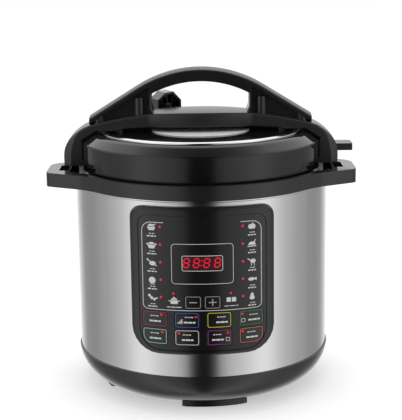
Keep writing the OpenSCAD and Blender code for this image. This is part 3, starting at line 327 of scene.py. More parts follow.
def shift(mesh, x, y, z, verts=None):
    bmesh.ops.translate(mesh, vec=(x, y, z), verts=list(verts or mesh.verts))


def wire(mesh, corners, closed=True, segments=6):
    """Wire through (x, z, radius) corners in the upright plane y = 0."""
    verts = [mesh.verts.new((x, 0, z)) for x, z, radius in corners]
    ends = verts[1:] + verts[:1] if closed else verts[1:]
    for start, end in zip(verts, ends):
        mesh.edges.new((start, end))
    count = len(corners)
    for i, (x, z, radius) in enumerate(corners):
        if radius:
            here = Vector((x, z))
            back = Vector(corners[i - 1][:2]) - here
            ahead = Vector(corners[(i + 1) % count][:2]) - here
            slide = radius / math.tan(back.angle(ahead) / 2)
            bmesh.ops.bevel(mesh, geom=[verts[i]], offset=slide, offset_type="OFFSET", segments=segments,
                            profile=0.5, affect="VERTICES", material=-1)


def fill(mesh):
    """Fills the closed wires, the inner ones as holes."""
    bmesh.ops.triangle_fill(mesh, use_beauty=True, use_dissolve=False, edges=mesh.edges[:])


def box_corners(x, z, w, h, radius, low_radius=None):
    """Corners of an upright rounded rectangle round a centre."""
    low_radius = radius if low_radius is None else low_radius
    return [(x - w / 2, z - h / 2, low_radius), (x + w / 2, z - h / 2, low_radius),
            (x + w / 2, z + h / 2, radius), (x - w / 2, z + h / 2, radius)]


def carry(mesh, made, vector):
    """Moves the points that an extrusion has made."""
    points = [v for v in made["geom"] if isinstance(v, bmesh.types.BMVert)]
    bmesh.ops.translate(mesh, vec=vector, verts=points)


def pull(mesh, vector, faces=None):
    """Extrudes faces, or the whole sheet, into a solid."""
    carry(mesh, bmesh.ops.extrude_face_region(mesh, geom=list(faces or mesh.faces)), vector)


def drop(mesh, vector):
    """Extrudes a wire into a wall."""
    carry(mesh, bmesh.ops.extrude_edge_only(mesh, edges=mesh.edges[:]), vector)


def soften(mesh, width, chosen, segments=3):
    """Rounds the edges that a rule chooses."""
    bmesh.ops.bevel(mesh, geom=[e for e in mesh.edges if chosen(e)], offset=width, offset_type="OFFSET",
                    segments=segments, profile=0.5, affect="EDGES", material=-1, clamp_overlap=True)


def held(value, limit):
    """A value kept between minus and plus a limit."""
    return max(-limit, min(limit, value))


def level(edge, z):
    """Whether an edge lies at a height."""
    return all(abs(v.co.z - z) < 0.01 for v in edge.verts)


def block(size, rounding):
    """Block round the origin with rounded edges."""
    mesh = bmesh.new()
    bmesh.ops.create_cube(mesh, size=1.0)
    bmesh.ops.scale(mesh, vec=size, verts=mesh.verts)
    soften(mesh, rounding, lambda e: True, 2)
    return mesh


def round_post(x, y, foot, top, foot_r, top_r, segments):
    """Upright post with both its ends closed."""
    mesh = bmesh.new()
    middle = Matrix.Translation((x, y, (top + foot) / 2))
    bmesh.ops.create_cone(mesh, cap_ends=True, segments=segments, radius1=foot_r, radius2=top_r,
                          depth=top - foot, matrix=middle)
    return mesh


def spun(corners, steps, closed=True):
    """Spins an (r, z, radius) outline round the upright axis."""
    mesh = bmesh.new()
    wire(mesh, corners, closed)
    bmesh.ops.spin(mesh, geom=mesh.verts[:] + mesh.edges[:], cent=(0, 0, 0), axis=(0, 0, 1), angle=FULL,
                   steps=steps, use_merge=True)
    return mesh


def cut_across(mesh, x):
    """Adds the edges where an upright plane crosses the faces."""
    bmesh.ops.bisect_plane(mesh, geom=mesh.verts[:] + mesh.edges[:] + mesh.faces[:], dist=0.0001,
                           plane_co=(x, 0, 0), plane_no=(1, 0, 0))


def wrap_front(mesh, radius):
    """Cuts a flat front, drawn at y = depth, into strips and bends it round the body.

    The cuts lie a little off the middle, clear of the drawing's own points.
    """
    pitch, off_middle = 4.0, 0.013
    bmesh.ops.triangulate(mesh, faces=[f for f in mesh.faces if len(f.verts) > 4])
    lines = int(max(abs(v.co.x) for v in mesh.verts) / pitch)
    for i in range(-lines, lines + 1):
        cut_across(mesh, i * pitch + off_middle)
    for vert in mesh.verts:
        vert.co.y = -math.sqrt((radius - vert.co.y) ** 2 - vert.co.x ** 2)


def arc(radius, start, end, steps):
    """Points of a circle, as wire corners."""
    return [(radius * math.cos(a), radius * math.sin(a), 0)
            for a in (math.radians(start + (end - start) * i / steps) for i in range(steps + 1))]


def circle(radius, count, x=0, z=0):
    """Closed circle of a number of points, as wire corners."""
    return [(x + px, z + pz, 0) for px, pz, r in arc(radius, 0, 360 - 360 / count, count - 1)]


def lay(mesh, height):
    """Lays an upright drawing down, seen from above, with its front side at a height."""
    turn(mesh, "X", -90)
    shift(mesh, 0, 0, height)


def add(mesh, *others):
    """Moves the geometry of other meshes into this one."""
    for other in others:
        data = stored("part", other)
        mesh.from_mesh(data)
        bpy.data.meshes.remove(data)


def plan_sheet(depth, *outlines):
    """Flat sheet at a depth below the drawing plane, with its inner outlines as holes."""
    mesh = bmesh.new()
    for outline in outlines:
        wire(mesh, outline)
    fill(mesh)
    shift(mesh, 0, depth, 0)
    return mesh


def wall(outline, top, bottom):
    """Upright wall along an outline, between two depths."""
    mesh = bmesh.new()
    wire(mesh, outline)
    drop(mesh, (0, bottom - top, 0))
    shift(mesh, 0, top, 0)
    return mesh


def outline_points(corners):
    """Rounded places of an outline's points in the drawing plane."""
    mesh = bmesh.new()
    wire(mesh, corners)
    points = {spot_of(vert) for vert in mesh.verts}
    mesh.free()
    return points


def spot_of(vert):
    return round(vert.co.x, 2), round(vert.co.y, 2), round(vert.co.z, 2)


def mark_sharp(mesh, degrees):
    """Smooth faces, with the edges over an angle left sharp."""
    for face in mesh.faces:
        face.smooth = True
    for edge in mesh.edges:
        edge.smooth = len(edge.link_faces) != 2 or edge.calc_face_angle(0) < math.radians(degrees)


def stored(name, mesh):
    """Mesh data from a working mesh, which is freed."""
    data = bpy.data.meshes.new(name)
    mesh.to_mesh(data)
    mesh.free()
    return data


def piece(name, mesh, material, node, sharp=38):
    """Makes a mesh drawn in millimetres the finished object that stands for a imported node."""
    bmesh.ops.remove_doubles(mesh, verts=mesh.verts, dist=0.004)
    bmesh.ops.dissolve_degenerate(mesh, edges=mesh.edges, dist=0.0005)
    bmesh.ops.recalc_face_normals(mesh, faces=mesh.faces)
    mark_sharp(mesh, sharp)
    bmesh.ops.scale(mesh, vec=(MM, MM, MM), verts=mesh.verts)
    place(name, stored(name, mesh), material, (node,))


def place(name, data, material, stands_for, body=None, slot=None, even=True):
    """Puts mesh data in the scene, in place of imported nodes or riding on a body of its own."""
    thing = bpy.data.objects.new(name, data)
    bpy.context.scene.collection.objects.link(thing)
    data.materials.clear()
    data.materials.append(material)
    if even:
        weights = thing.modifiers.new("even_shading", "WEIGHTED_NORMAL")
        weights.keep_sharp = True
    if stands_for:
        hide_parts(*stands_for)
    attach(thing, body or body_of[stands_for[0]])
    slot or slot_of[stands_for[0]]
    return thing


def dressed(node, material, width):
    """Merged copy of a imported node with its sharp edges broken."""
    sharp = 40
    name = node + "_dressed"
    mesh = bmesh.new()
    mesh.from_mesh(frame["nodes"][node].data)
    bmesh.ops.remove_doubles(mesh, verts=mesh.verts, dist=0.00001)
    mark_sharp(mesh, sharp)
    thing = place(name, stored(name, mesh), material, (node,), even=False)
    broken = thing.modifiers.new("broken_edges", "BEVEL")
    broken.width = width * MM
    broken.segments = 2
    broken.limit_method = "ANGLE"
    broken.angle_limit = math.radians(sharp)
    broken.use_clamp_overlap = True
    broken.harden_normals = True


def painted(material, *nodes):
    """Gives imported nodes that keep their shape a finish."""
    for node in nodes:
        data = frame["nodes"][node].data
        data.materials.clear()
        data.materials.append(material)


# ---------- base, sleeve and inner parts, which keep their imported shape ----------

painted(base_black, "base_shell", "power_inlet")
painted(steel, "outer_sleeve")
painted(inner_steel, "outer_vessel", "inner_pot", "lid_dome", "seal_rack", "temp_probe", "anti_block_cap",
        "steam_pipe", "pipe_nut", "rack_nut")
painted(sheet_steel, "vessel_bracket", "probe_guide", "probe_spring", "ear_brackets")
painted(screw_steel, "base_screws", "ear_screws", "bridge_screws")
painted(heater_cast, "heating_plate")
painted(seal_white, "sealing_ring")
painted(seat_red, "float_seat")
painted(pin_red, "float_pin")
painted(board_green, "power_board", "display_board")
painted(ceramic, "thermal_fuse")
painted(switch_dark, "pressure_switch")
dressed("feet", rubber_black, 0.5)
dressed("cup_holder", base_black, 0.4)
dressed("condensate_cup", cup_clear, 0.3)


# ---------- collar with its ears ----------

def both_sides(right, back, front):
    """Closed outline: the right side's corners, the back arc, the mirrored side and the front arc."""
    left = [(-x, z, radius) for x, z, radius in reversed(right)]
    return right + back + left + front


def bearing(radius, y):
    """Angle in degrees at which a circle passes a distance behind its centre."""
    return math.degrees(math.atan2(y, math.sqrt(radius ** 2 - y ** 2)))


def collar_outline():
    """Round body with an ear on each side, whose flank meets the body towards the front."""
    flank_y = -81.0
    right = [(ear_x - 38.0, -ear_front - 18.5, 30), (ear_x, -ear_front + 2.7, 8), (ear_x, ear_back, 19)]
    heel, toe = bearing(collar_r, ear_back), bearing(collar_r, flank_y)
    return both_sides(right, arc(collar_r, heel, 180 - heel, 84), arc(collar_r, 180 - toe, 360 + toe, 64))


def gutter_outline():
    """Sunk channel round the lid, with a well in each ear."""
    well_x, well_back, well_front = ear_x - 23, 2, -ear_front - 4
    right = [(119.5, well_front, 3), (well_x, -ear_front + 3, 3), (well_x, well_back, 3)]
    heel, toe = bearing(gutter_r, well_back), bearing(gutter_r, well_front)
    return both_sides(right, arc(gutter_r, heel, 180 - heel, 90), arc(gutter_r, 180 - toe, 360 + toe, 66))


slot_x, slot_y, slot_w, slot_l = ear_x - 16.6, -21, 9.2, 30


def slot_outline(side):
    """Slot through an ear, in which the lid can stand on its tongue."""
    return box_corners(side * slot_x, slot_y, slot_w, slot_l, 1.2)


def off_slot(point):
    """Whether a point of an ear is clear of its slot."""
    return abs(abs(point.x) - slot_x) > slot_w / 2 + 0.2 or abs(point.y - slot_y) > slot_l / 2 + 0.2


def collar():
    """Top, walls, gutter floor and underside, with a pad under each ear and the drain's block behind."""
    gutter = rim_z - gutter_z
    depth = rim_z - collar_z
    outer, inner = collar_outline(), gutter_outline()
    bore = circle(vessel_r + 0.8, 144)
    slots = [slot_outline(-1), slot_outline(1)]
    mesh = plan_sheet(0, outer, inner, *slots)
    add(mesh, wall(outer, 0, depth), wall(inner, 0, gutter), plan_sheet(gutter, inner, bore),
        wall(bore, gutter, depth), *[wall(slot, 0, depth) for slot in slots],
        plan_sheet(depth, outer, bore, *slots))
    bmesh.ops.remove_doubles(mesh, verts=mesh.verts, dist=0.004)
    lay(mesh, rim_z)
    outside = {v for v in mesh.verts if math.hypot(v.co.x, v.co.y) > collar_r - 0.05
               or abs(v.co.x) > ear_x - 22.0 and off_slot(v.co)}
    soften(mesh, 1.9, lambda e: level(e, rim_z) and all(v in outside for v in e.verts), 4)
    soften(mesh, 1.0, lambda e: level(e, collar_z) and all(v in outside for v in e.verts), 3)
    brim = outline_points(inner)
    soften(mesh, 0.7, lambda e: level(e, rim_z) and all(
        (round(v.co.x, 2), 0, round(v.co.y, 2)) in brim for v in e.verts), 2)
    pad_x, pad_y, drain_y = 131.5, -24.0, 137.0
    for x in (-pad_x, pad_x):
        pad = block((9.0, 22.0, 5.0), 0.8)
        shift(pad, x, pad_y, collar_z - 1.2)
        add(mesh, pad)
    drain = block((14.0, 14.0, 8.0), 1.0)
    shift(drain, 0, drain_y, collar_z + 4.0)
    add(mesh, drain)
    return mesh


piece("collar", collar(), rim_black, "rim_collar")


# ---------- sleeve ----------

def sleeve():
    """Rolled steel wall with a bead under its top edge."""
    foot, top = sleeve_foot, sleeve_top
    inside, bead = sleeve_r - 0.8, sleeve_r + 0.45
    return spun([(inside, foot, 0), (sleeve_r, foot, 0.2), (sleeve_r, foot + 1.4, 0),
                 (sleeve_r, top - 2.2, 0.3), (bead, top - 1.7, 0.3), (bead, top - 0.7, 0.3),
                 (sleeve_r, top - 0.2, 0), (inside, top, 0)], 256)


piece("sleeve", sleeve(), steel, "outer_sleeve", sharp=50)


# ---------- lid ----------

edge_z = lid_z + 28.0
shoulder_fall = 9.4 / 15


def lid_shell():
    """Outer skin from the wall's foot over the shoulder to the flat floor, with the valve and float holes."""
    ring_out = high("trim_ring").x + 0.15
    groove = floor_z - 0.8
    floor_r = 100.6
    inside = lid_r - 2.2
    mesh = spun([(floor_r, floor_z, 0.3), (floor_r, groove, 0), (ring_out, groove, 0),
                 (ring_out, shoulder_z - 0.7, 0.6), (110.2, shoulder_z - 0.8, 13),
                 (lid_r - 0.5, edge_z + 0.2, 0.5), (lid_r, edge_z - 1.2, 0.6), (lid_r, lid_z, 0.4),
                 (inside, lid_z, 0.4), (inside, edge_z - 2.5, 1), (shoulder_r - 1, floor_z - 2.5, 1)],
                192, closed=False)
    valve_hole, float_hole = circle(7.0, 24, -37, 55), circle(3.8, 24, 37, 55)
    lid_floor = plan_sheet(0, circle(floor_r, 192), valve_hole, float_hole)
    for sheet in (lid_floor, wall(valve_hole, 0, 2.5), wall(float_hole, 0, 2.5)):
        lay(sheet, floor_z)
        add(mesh, sheet)
    return mesh


piece("lid_shell", lid_shell(), black, "lid_cover", sharp=30)


def bright_ring():
    """Bright ring in the lid's groove, its top sloping outwards."""
    outer, inner = high("trim_ring").x - 0.9, high("trim_ring").x - 4.9
    top, foot = high("trim_ring").z, low("trim_ring").z
    return spun([(inner, foot, 0), (outer, foot, 0), (outer, top - 0.9, 0.2), (inner + 0.9, top, 0.5),
                 (inner, top - 0.3, 0.2)], 192)


piece("bright_ring", bright_ring(), trim_chrome, "trim_ring", sharp=50)


def round_plate():
    """Thin plate on the lid's floor with a rounded edge."""
    top = floor_z + 1.2
    return spun([(0, floor_z, 0), (plate_r, floor_z, 0), (plate_r, top, 0.7), (plate_r - 3, top, 0),
                 (0, top, 0)], 144)


piece("round_plate", round_plate(), plate_satin, "lid_plate", sharp=50)


# ---------- bridge over the lid ----------

vessel_reach = 118.4
vessel_top = high("outer_vessel").z
web_reach = 121.4
crown_radius = 205.6
bend_r = 36.0
bend_x = arm_x - bend_r
skin_r = 481.5
arch_z = crest_z - 480.0
bend_z = arch_z + math.sqrt((skin_r - bend_r) ** 2 - bend_x ** 2)
sweep = math.atan2(bend_x, bend_z - arch_z)


def along_height(x):
    """Height of the bridge's skin line at a distance from the middle."""
    if abs(x) < bend_x:
        return arch_z + math.sqrt(skin_r ** 2 - x * x)
    return bend_z + math.sqrt(max(0.0, bend_r ** 2 - (abs(x) - bend_x) ** 2))


def along_bridge(t):
    """Point of the skin and its outward direction, for t from -1 at the left foot to 1 at the right."""
    side = 1 if t >= 0 else -1
    lengths = [skin_r * sweep, bend_r * (math.pi / 2 - sweep), bend_z - arm_z]
    run = abs(t) * sum(lengths)
    if run < lengths[0]:
        angle = run / skin_r
        x, z = skin_r * math.sin(angle), arch_z + skin_r * math.cos(angle)
    elif run < lengths[0] + lengths[1]:
        angle = sweep + (run - lengths[0]) / bend_r
        x, z = bend_x + bend_r * math.sin(angle), bend_z + bend_r * math.cos(angle)
    else:
        angle = math.pi / 2
        x, z = arm_x, bend_z - (run - lengths[0] - lengths[1])
    return side * x, z, side * math.sin(angle), math.cos(angle)


def lid_surface(x):
    """Height of the lid under the bridge, or of the vessel's rim beyond the lid."""
    x = abs(x)
    if x < shoulder_r:
        return floor_z - 0.2
    return shoulder_z - (x - shoulder_r) * shoulder_fall if x < lid_r - 1 else vessel_top + 0.8


def bridge_half_width(x):
    """The arms' width, growing in a wide arc to 30 at the middle."""
    return max(arm_w, math.sqrt(143.0 ** 2 - min(abs(x), 140.0) ** 2) - 113.0)


def bar_depth(x, z, nx, nz):
    """Thickness of the bar, down to its curved underside, the lid's shoulder or an arm's inner face."""
    if x < 98.0:
        under_z = crest_z - 16.2 - x * x / 2800.0 - 5.0 * (max(0.0, x - 76.0) / 20.0) ** 2
        return (z - max(under_z, shoulder_z + 0.8)) / nz
    slant = shoulder_fall if x > shoulder_r else 0.0
    reach = (z - shoulder_z - 0.8 + max(0.0, x - shoulder_r) * slant) / (nz + slant * nx)
    inner = lid_r - 1.3 if z > vessel_top + 1.0 else vessel_reach + 0.7
    return reach if x - nx * reach < lid_r else (x - inner) / nx


def crown_drop(y, up):
    """How far the band's crown lies under the skin line, at a distance from its middle."""
    return up * (1.4 + y * y / (2 * crown_radius))


def bridge_bar():
    """The bar as a grid bent to the arch: across it run the web, one side, the crown and the other side.

    The crown's edge is rounded on the arch and cut off at a slant on the arms; up is 1 on the arch.
    """
    along, side_rows, rounds, span = 160, 5, 4, 12
    edge_r, cut_w, cut_deep = 2.4, 5.5, 7.2
    rows = 2 * (side_rows + rounds) + span - 1
    mesh = bmesh.new()
    bmesh.ops.create_grid(mesh, x_segments=along, y_segments=rows, size=0.5)
    rims = [e for e in mesh.edges if all(abs(v.co.y) > 0.4999 for v in e.verts)]
    for vert in mesh.verts:
        t = vert.co.x * 2
        row = round((vert.co.y + 0.5) * rows)
        side = -1 if row * 2 < rows else 1
        row = min(row, rows - row)
        x, z, nx, nz = along_bridge(t)
        width = bridge_half_width(x)
        up = max(0.0, min(1.0, (z - 250.0) / 18.0))
        shave = edge_r * up + cut_w * (1 - up)
        depth = bar_depth(abs(x), z, abs(nx), nz)
        if row < 2:
            y, sunk = width * (0.6 if abs(x) > 96.0 or side > 0 else -0.35), depth
            if row == 0:
                vert.co = (held(x - nx * depth, web_reach), side * y, min(z - nz * depth, lid_surface(x)))
                continue
        elif row == 2:
            y, sunk = width - 0.9, depth
        elif row == 3:
            y, sunk = width, depth - 0.9
        elif row < side_rows + rounds:
            step = (row - side_rows + 1) / rounds
            angle = math.pi / 2 * step
            round_y, round_sunk = edge_r * (1 - math.cos(angle)), edge_r * (1 - math.sin(angle))
            cut_y, cut_sunk = cut_w * step, cut_deep * (1 - step)
            y = width - up * round_y - (1 - up) * cut_y
            sunk = crown_drop(width - shave, up) + up * round_sunk + (1 - up) * cut_sunk
        else:
            y = (width - shave) * (1 - (row - side_rows + 1 - rounds) / (span / 2))
            sunk = crown_drop(y, up)
        vert.co = (x - nx * sunk, side * y, z - nz * sunk)
    bmesh.ops.bridge_loops(mesh, edges=rims)
    return mesh


def fin():
    """Tongue on the right arm, which stands the lid up in an ear's slot."""
    half, thick = 12, 7.2
    mesh = plan_sheet(0, [(arm_x - 6, -half, 0), (ear_x, -half, 1), (ear_x, half, 5), (arm_x - 6, half, 0)])
    lay(mesh, edge_z - 13.5)
    pull(mesh, (0, 0, thick))
    soften(mesh, 0.7, lambda e: abs(e.verts[0].co.z - e.verts[1].co.z) < 0.01
           and max(v.co.x for v in e.verts) > arm_x)
    return mesh


def bridge():
    """The bar with its feet closed, the screw bosses under it and the tongue."""
    mesh = bridge_bar()
    bmesh.ops.remove_doubles(mesh, verts=mesh.verts, dist=0.004)
    bmesh.ops.holes_fill(mesh, edges=[e for e in mesh.edges if len(e.link_faces) == 1], sides=0)
    soften(mesh, 0.45, lambda e: len(e.link_faces) == 2 and 0.45 < e.calc_face_angle(0) < 1.2
           and all(abs(v.co.x) > 106 and abs(abs(v.co.y) - arm_w) < 0.05 for v in e.verts), 2)
    screw_head_r = 3.4
    screw_x, screw_y = high("bridge_screws").x - screw_head_r, high("bridge_screws").y - screw_head_r
    boss_top = along_height(screw_x) - 4.5
    for x in (screw_x, -screw_x):
        for y in (screw_y, -screw_y):
            add(mesh, round_post(x, y, floor_z, boss_top, 5.0, 4.6, 32))
    add(mesh, fin())
    return mesh


piece("bridge_bar", bridge(), satin_black, "bridge", sharp=28)


# ---------- handle ----------

grip_half = 50.0
grip_r = 124.0
under_r, under_z = 107.0, 209.5
slope = math.radians(31.6)
slope_x = 65.0
lip = 7.2
recess_x, recess_deep = 112.4, 5.5
column_x, column_y, column_r = 62.4, 11.2, 5.5
post_x, post_r = 104.2, 9.2


def handle_top(x):
    """Height of the handle's top edge: an arc over the grip, then a straight slope down to each end."""
    sloping = max(0.0, abs(x) - slope_x)
    rise = math.sqrt(grip_r ** 2 - min(abs(x), slope_x) ** 2)
    return handle_z - grip_r + rise - sloping * math.tan(slope)


def grip_under(x):
    """Height of the grip's underside."""
    return under_z + math.sqrt(under_r ** 2 - x * x)


def handle_grid():
    """Front of the handle as a flat grid: its legs down to the bridge and the arch of the grip between."""
    half = [0, 5, 10, 15, 20, 25, 30, 35, 40, 45, grip_half, grip_half + 3, 57, 61, 65, 70, 76, 82, 88, 92,
            95.4, 98, 101, 104, 106.5, 109, 111, recess_x, handle_x]
    columns = [-x for x in reversed(half[1:])] + half
    mesh = bmesh.new()
    bmesh.ops.create_grid(mesh, x_segments=len(columns) - 1, y_segments=3, size=0.5)
    for vert in mesh.verts:
        x = columns[round((vert.co.x + 0.5) * (len(columns) - 1))]
        row = round((vert.co.y + 0.5) * 3)
        side = 1 if x > 0 else -1
        top = handle_top(x)
        if row == 3:
            z = top - 2.0
        elif row == 2:
            z = grip_under(x) if abs(x) <= grip_half else top - lip
        elif row == 1:
            z = min(291.0, along_height(x) + 6.0, top - 9.0)
        else:
            z = min(along_height(x), top - 8.0) - 4.5
            if abs(x) == grip_half:
                x -= side * 3.2
        vert.co = (x, -handle_w, z)
    centres = [(f, f.calc_center_median()) for f in mesh.faces]
    gap = [f for f, at in centres if abs(at.x) < grip_half - 1 and at.z < grip_under(at.x) - 1.5]
    bmesh.ops.delete(mesh, geom=gap, context="FACES")
    return mesh


def in_recess(face):
    """Whether a face of the front or back lies in the recess of a leg."""
    centre = face.calc_center_median()
    return grip_half + 3 < abs(centre.x) < recess_x and centre.z < handle_top(centre.x) - lip - 0.1


def upright_at(face, y):
    """Whether a face lies flat in an upright plane."""
    return all(abs(v.co.y - y) < 0.01 for v in face.verts)


def handle():
    """The grid pulled from front to back, its grip crowned, its legs recessed and their posts put in."""
    mesh = handle_grid()
    for step in (3.0, 5.0, 9.0, 9.0, 5.0, 3.0):
        back = max(v.co.y for v in mesh.verts)
        pull(mesh, (0, step, 0), [f for f in mesh.faces if upright_at(f, back)])
    inside = [f for f in mesh.faces if upright_at(f, f.verts[0].co.y)
              and abs(f.verts[0].co.y) < handle_w - 0.1]
    bmesh.ops.delete(mesh, geom=inside, context="FACES_ONLY")
    bmesh.ops.recalc_face_normals(mesh, faces=mesh.faces)
    for vert in mesh.verts:
        x, y, z = vert.co
        if z > handle_top(x) - 2.01:
            vert.co.z += 2.0 * (1 - (y / handle_w) ** 2)
    for y in (-handle_w, handle_w):
        pocket = [f for f in mesh.faces if upright_at(f, y) and in_recess(f)]
        pull(mesh, (0, -recess_deep if y > 0 else recess_deep, 0), pocket)
        bmesh.ops.delete(mesh, geom=[f for f in pocket if f.is_valid], context="FACES")
    soften(mesh, 1.6, lambda e: len(e.link_faces) == 2 and all(
        abs(abs(v.co.y) - handle_w) < 0.01 and v.co.z > handle_top(v.co.x) - 2.02 for v in e.verts), 3)
    soften(mesh, 1.7, lambda e: len(e.link_faces) == 2 and all(
        abs(abs(v.co.y) - handle_w) < 0.01 and abs(v.co.x) < grip_half + 0.1
        and v.co.z < handle_top(v.co.x) - 8 for v in e.verts) and any(
        abs(f.normal.y) < 0.5 for f in e.link_faces), 3)
    for vert in mesh.verts:
        x, y, z = vert.co
        if abs(x) > post_x and z < handle_top(x) - lip - 0.1:
            narrowing = math.sqrt(max(0.1, 1 - ((abs(x) - post_x) / post_r) ** 2))
            widest = (handle_w - 1.2) * narrowing
            vert.co = (held(x, post_x + post_r - 0.3), held(y, widest), z)
    for side in (-1, 1):
        add(mesh, column(side * column_x, -column_y), column(side * column_x, column_y),
            end_post(side * post_x))
    return mesh


def column(x, y):
    """Round post in the recess of a leg, cut off flat under the grip's edge."""
    top = handle_top(x) - 12.6
    mesh = round_post(x, y, along_height(x) - 5.0, top, column_r, column_r, 36)
    soften(mesh, 0.6, lambda e: level(e, top), 2)
    return mesh


def end_post(x):
    """Oval end of a leg, cut along the underside of the grip's edge and along the bridge."""
    foot, top = 268.0, 288.0
    mesh = round_post(x, 0, foot, top, post_r, post_r, 72)
    for vert in mesh.verts:
        vert.co.y *= (handle_w - 0.5) / post_r
        vert.co.z = handle_top(vert.co.x) - 6.4 if vert.co.z > foot + 1 else along_height(vert.co.x) - 4.5
    return mesh


piece("handle_bow", handle(), handle_black, "handle", sharp=34)


# ---------- steam valve knob ----------

knob_low, knob_high = low("valve_knob"), high("valve_knob")
knob_x = (knob_low.x + knob_high.x) / 2
knob_y = (knob_low.y + knob_high.y) / 2


def knob():
    """Hollow knob: a turned foot, a hood open at the front, ribs inside it and a lug on its crown."""
    foot, top = knob_low.z, knob_high.z
    bore, brim, neck = 4.2, 11.5, top - 12
    mesh = spun([(bore, foot, 0), (brim, foot, 0.6), (brim, foot + 2.2, 0.5), (8.6, foot + 4.6, 0.5),
                 (7.4, neck, 0.8), (bore, neck, 0)], 64)
    hood = bmesh.new()
    side, deep = 13.4, 10.8
    wire(hood, [(-side, foot + 1.0, 0), (-side, top - 8.5, 1.2), (-5.0, top - 1.0, 1.5), (4.5, top, 1.2),
                (side, top - 9.5, 1.6), (side, foot + 1.0, 0)], closed=False)
    drop(hood, (0, 2 * deep, 0))
    bmesh.ops.recalc_face_normals(hood, faces=hood.faces)
    bmesh.ops.solidify(hood, geom=hood.faces[:], thickness=2.6)
    shift(hood, 0, -deep, 0)
    soften(hood, 1.15, lambda e: len(e.link_faces) == 2 and all(abs(v.co.y + deep) < 0.01 for v in e.verts)
           and e.calc_face_angle(0) > 0.8, 3)
    add(mesh, hood)
    back = plan_sheet(0, [(-side + 1, foot + 1.5, 0), (side - 1, foot + 1.5, 0), (side - 1, top - 10, 0),
                          (4.2, top - 1.2, 0), (-5, top - 2.2, 0), (-side + 1, top - 9, 0)])
    pull(back, (0, 2.2, 0))
    shift(back, 0, deep - 4.5, 0)
    add(mesh, back)
    for x, tall, wide in ((-7.2, 13.0, 1.6), (-1.6, 7.5, 2.4), (5.2, 9.0, 2.4), (8.4, 14.0, 1.4)):
        rib = block((wide, 9.0, tall), 0.4)
        shift(rib, x, -2.0, top - 3.4 - abs(x) * 0.5 - tall / 2)
        add(mesh, rib)
    lug = block((5.0, 9.0, 1.3), 0.4)
    turn(lug, "Y", 46)
    shift(lug, 9.3, 1.0, top - 4.6)
    add(mesh, lug)
    turn(mesh, "Z", 24)
    shift(mesh, knob_x, knob_y, 0)
    return mesh


piece("vent_knob", knob(), black, "valve_knob", sharp=30)


# ---------- control panel ----------

film_low, film_high = low("panel_film"), high("panel_film")
film_z = (film_low.z + film_high.z) / 2
film_w = 2 * film_high.x
film_h = film_high.z - film_low.z
window_z = (low("display_window").z + high("display_window").z) / 2
window_w, window_h = 60.0, 40.0
key_w, key_h = 23.5, 15.6
small_w, small_h = 15.2, 12.4


def key_centre(node):
    """Middle of a key's face, as x and z."""
    lowest, highest = low(node), high(node)
    return (lowest.x + highest.x) / 2, (lowest.z + highest.z) / 2


def film_corners(grow=0.0):
    """Outline of the film, with larger corners at its foot."""
    return box_corners(0, film_z, film_w + 2 * grow, film_h + 2 * grow, 9 + grow, 20 + grow)


def key_corners(number, grow=0.0):
    """Outline of a function key: the lower row's outer corners are large."""
    x, z = key_centre(f"key_{number}")
    w, h, r = key_w / 2 + grow, key_h / 2 + grow, max(0.4, 2.5 + grow)
    left = 8 + grow if number == 5 else r
    right = 8 + grow if number == 8 else r
    return [(x - w, z - h, left), (x + w, z - h, right), (x + w, z + h, r), (x - w, z + h, r)]


def small_corners(node, grow=0.0):
    """Outline of the minus or plus key."""
    x, z = key_centre(node)
    return box_corners(x, z, small_w + 2 * grow, small_h + 2 * grow, 2 + grow)


def bezel():
    """Frame round the film, its outer edge well rounded."""
    outline, opening = box_corners(0, bezel_z, bezel_w, bezel_h, 12, 26), film_corners(0.15)
    outer, inner = outline_points(outline), outline_points(opening)
    mesh = plan_sheet(0, outline, opening)
    pull(mesh, (0, 4.8, 0))
    soften(mesh, 3.0, lambda e: all(spot_of(v) in outer for v in e.verts), 5)
    soften(mesh, 0.45, lambda e: all(spot_of(v) in inner for v in e.verts), 2)
    wrap_front(mesh, panel_r)
    return mesh


piece("bezel", bezel(), black, "panel_bezel", sharp=50)


def front_plate(name, node, *outlines):
    """Plate of the film, bent to the front with a fine broken edge: its first outline, less the others."""
    mesh = plan_sheet(0, *outlines)
    pull(mesh, (0, 2.0, 0))
    soften(mesh, 0.25, lambda e: all(abs(v.co.y) < 0.001 for v in e.verts) and e.is_manifold
           and e.calc_face_angle(0) > 1.0, 2)
    wrap_front(mesh, film_r)
    piece(name, mesh, film_black, node, sharp=50)


front_plate("keypad_film", "panel_film", film_corners(), *[key_corners(i, 0.3) for i in range(1, 9)],
            small_corners("key_minus", 0.3), small_corners("key_plus", 0.3),
            box_corners(0, window_z, window_w + 0.3, window_h + 0.3, 4))
front_plate("display_glass", "display_window", box_corners(0, window_z, window_w, window_h, 3.8))
for number in range(1, 9):
    front_plate(f"pad_{number}", f"key_{number}", key_corners(number))
for sign in ("minus", "plus"):
    front_plate(f"pad_{sign}", f"key_{sign}", small_corners(f"key_{sign}"))


# ---------- prints and lamps on the panel ----------

def bar(mesh, x, z, w, h, degrees=0.0, lean=0.0):
    """Straight printed bar."""
    made = bmesh.ops.create_grid(mesh, x_segments=1, y_segments=1, size=0.5)["verts"]
    bmesh.ops.scale(mesh, vec=(w, h, 1), verts=made)
    turn(mesh, "X", 90, made)
    turn(mesh, "Y", -degrees, made)
    for vert in made:
        vert.co.x += lean * vert.co.z
    shift(mesh, x, 0, z, made)


def spot(mesh, x, z, radius, tall=1.0):
    """Round or oval printed spot."""
    made = bmesh.ops.create_circle(mesh, cap_ends=True, radius=radius, segments=24)["verts"]
    bmesh.ops.scale(mesh, vec=(1, tall, 1), verts=made)
    turn(mesh, "X", 90, made)
    shift(mesh, x, 0, z, made)


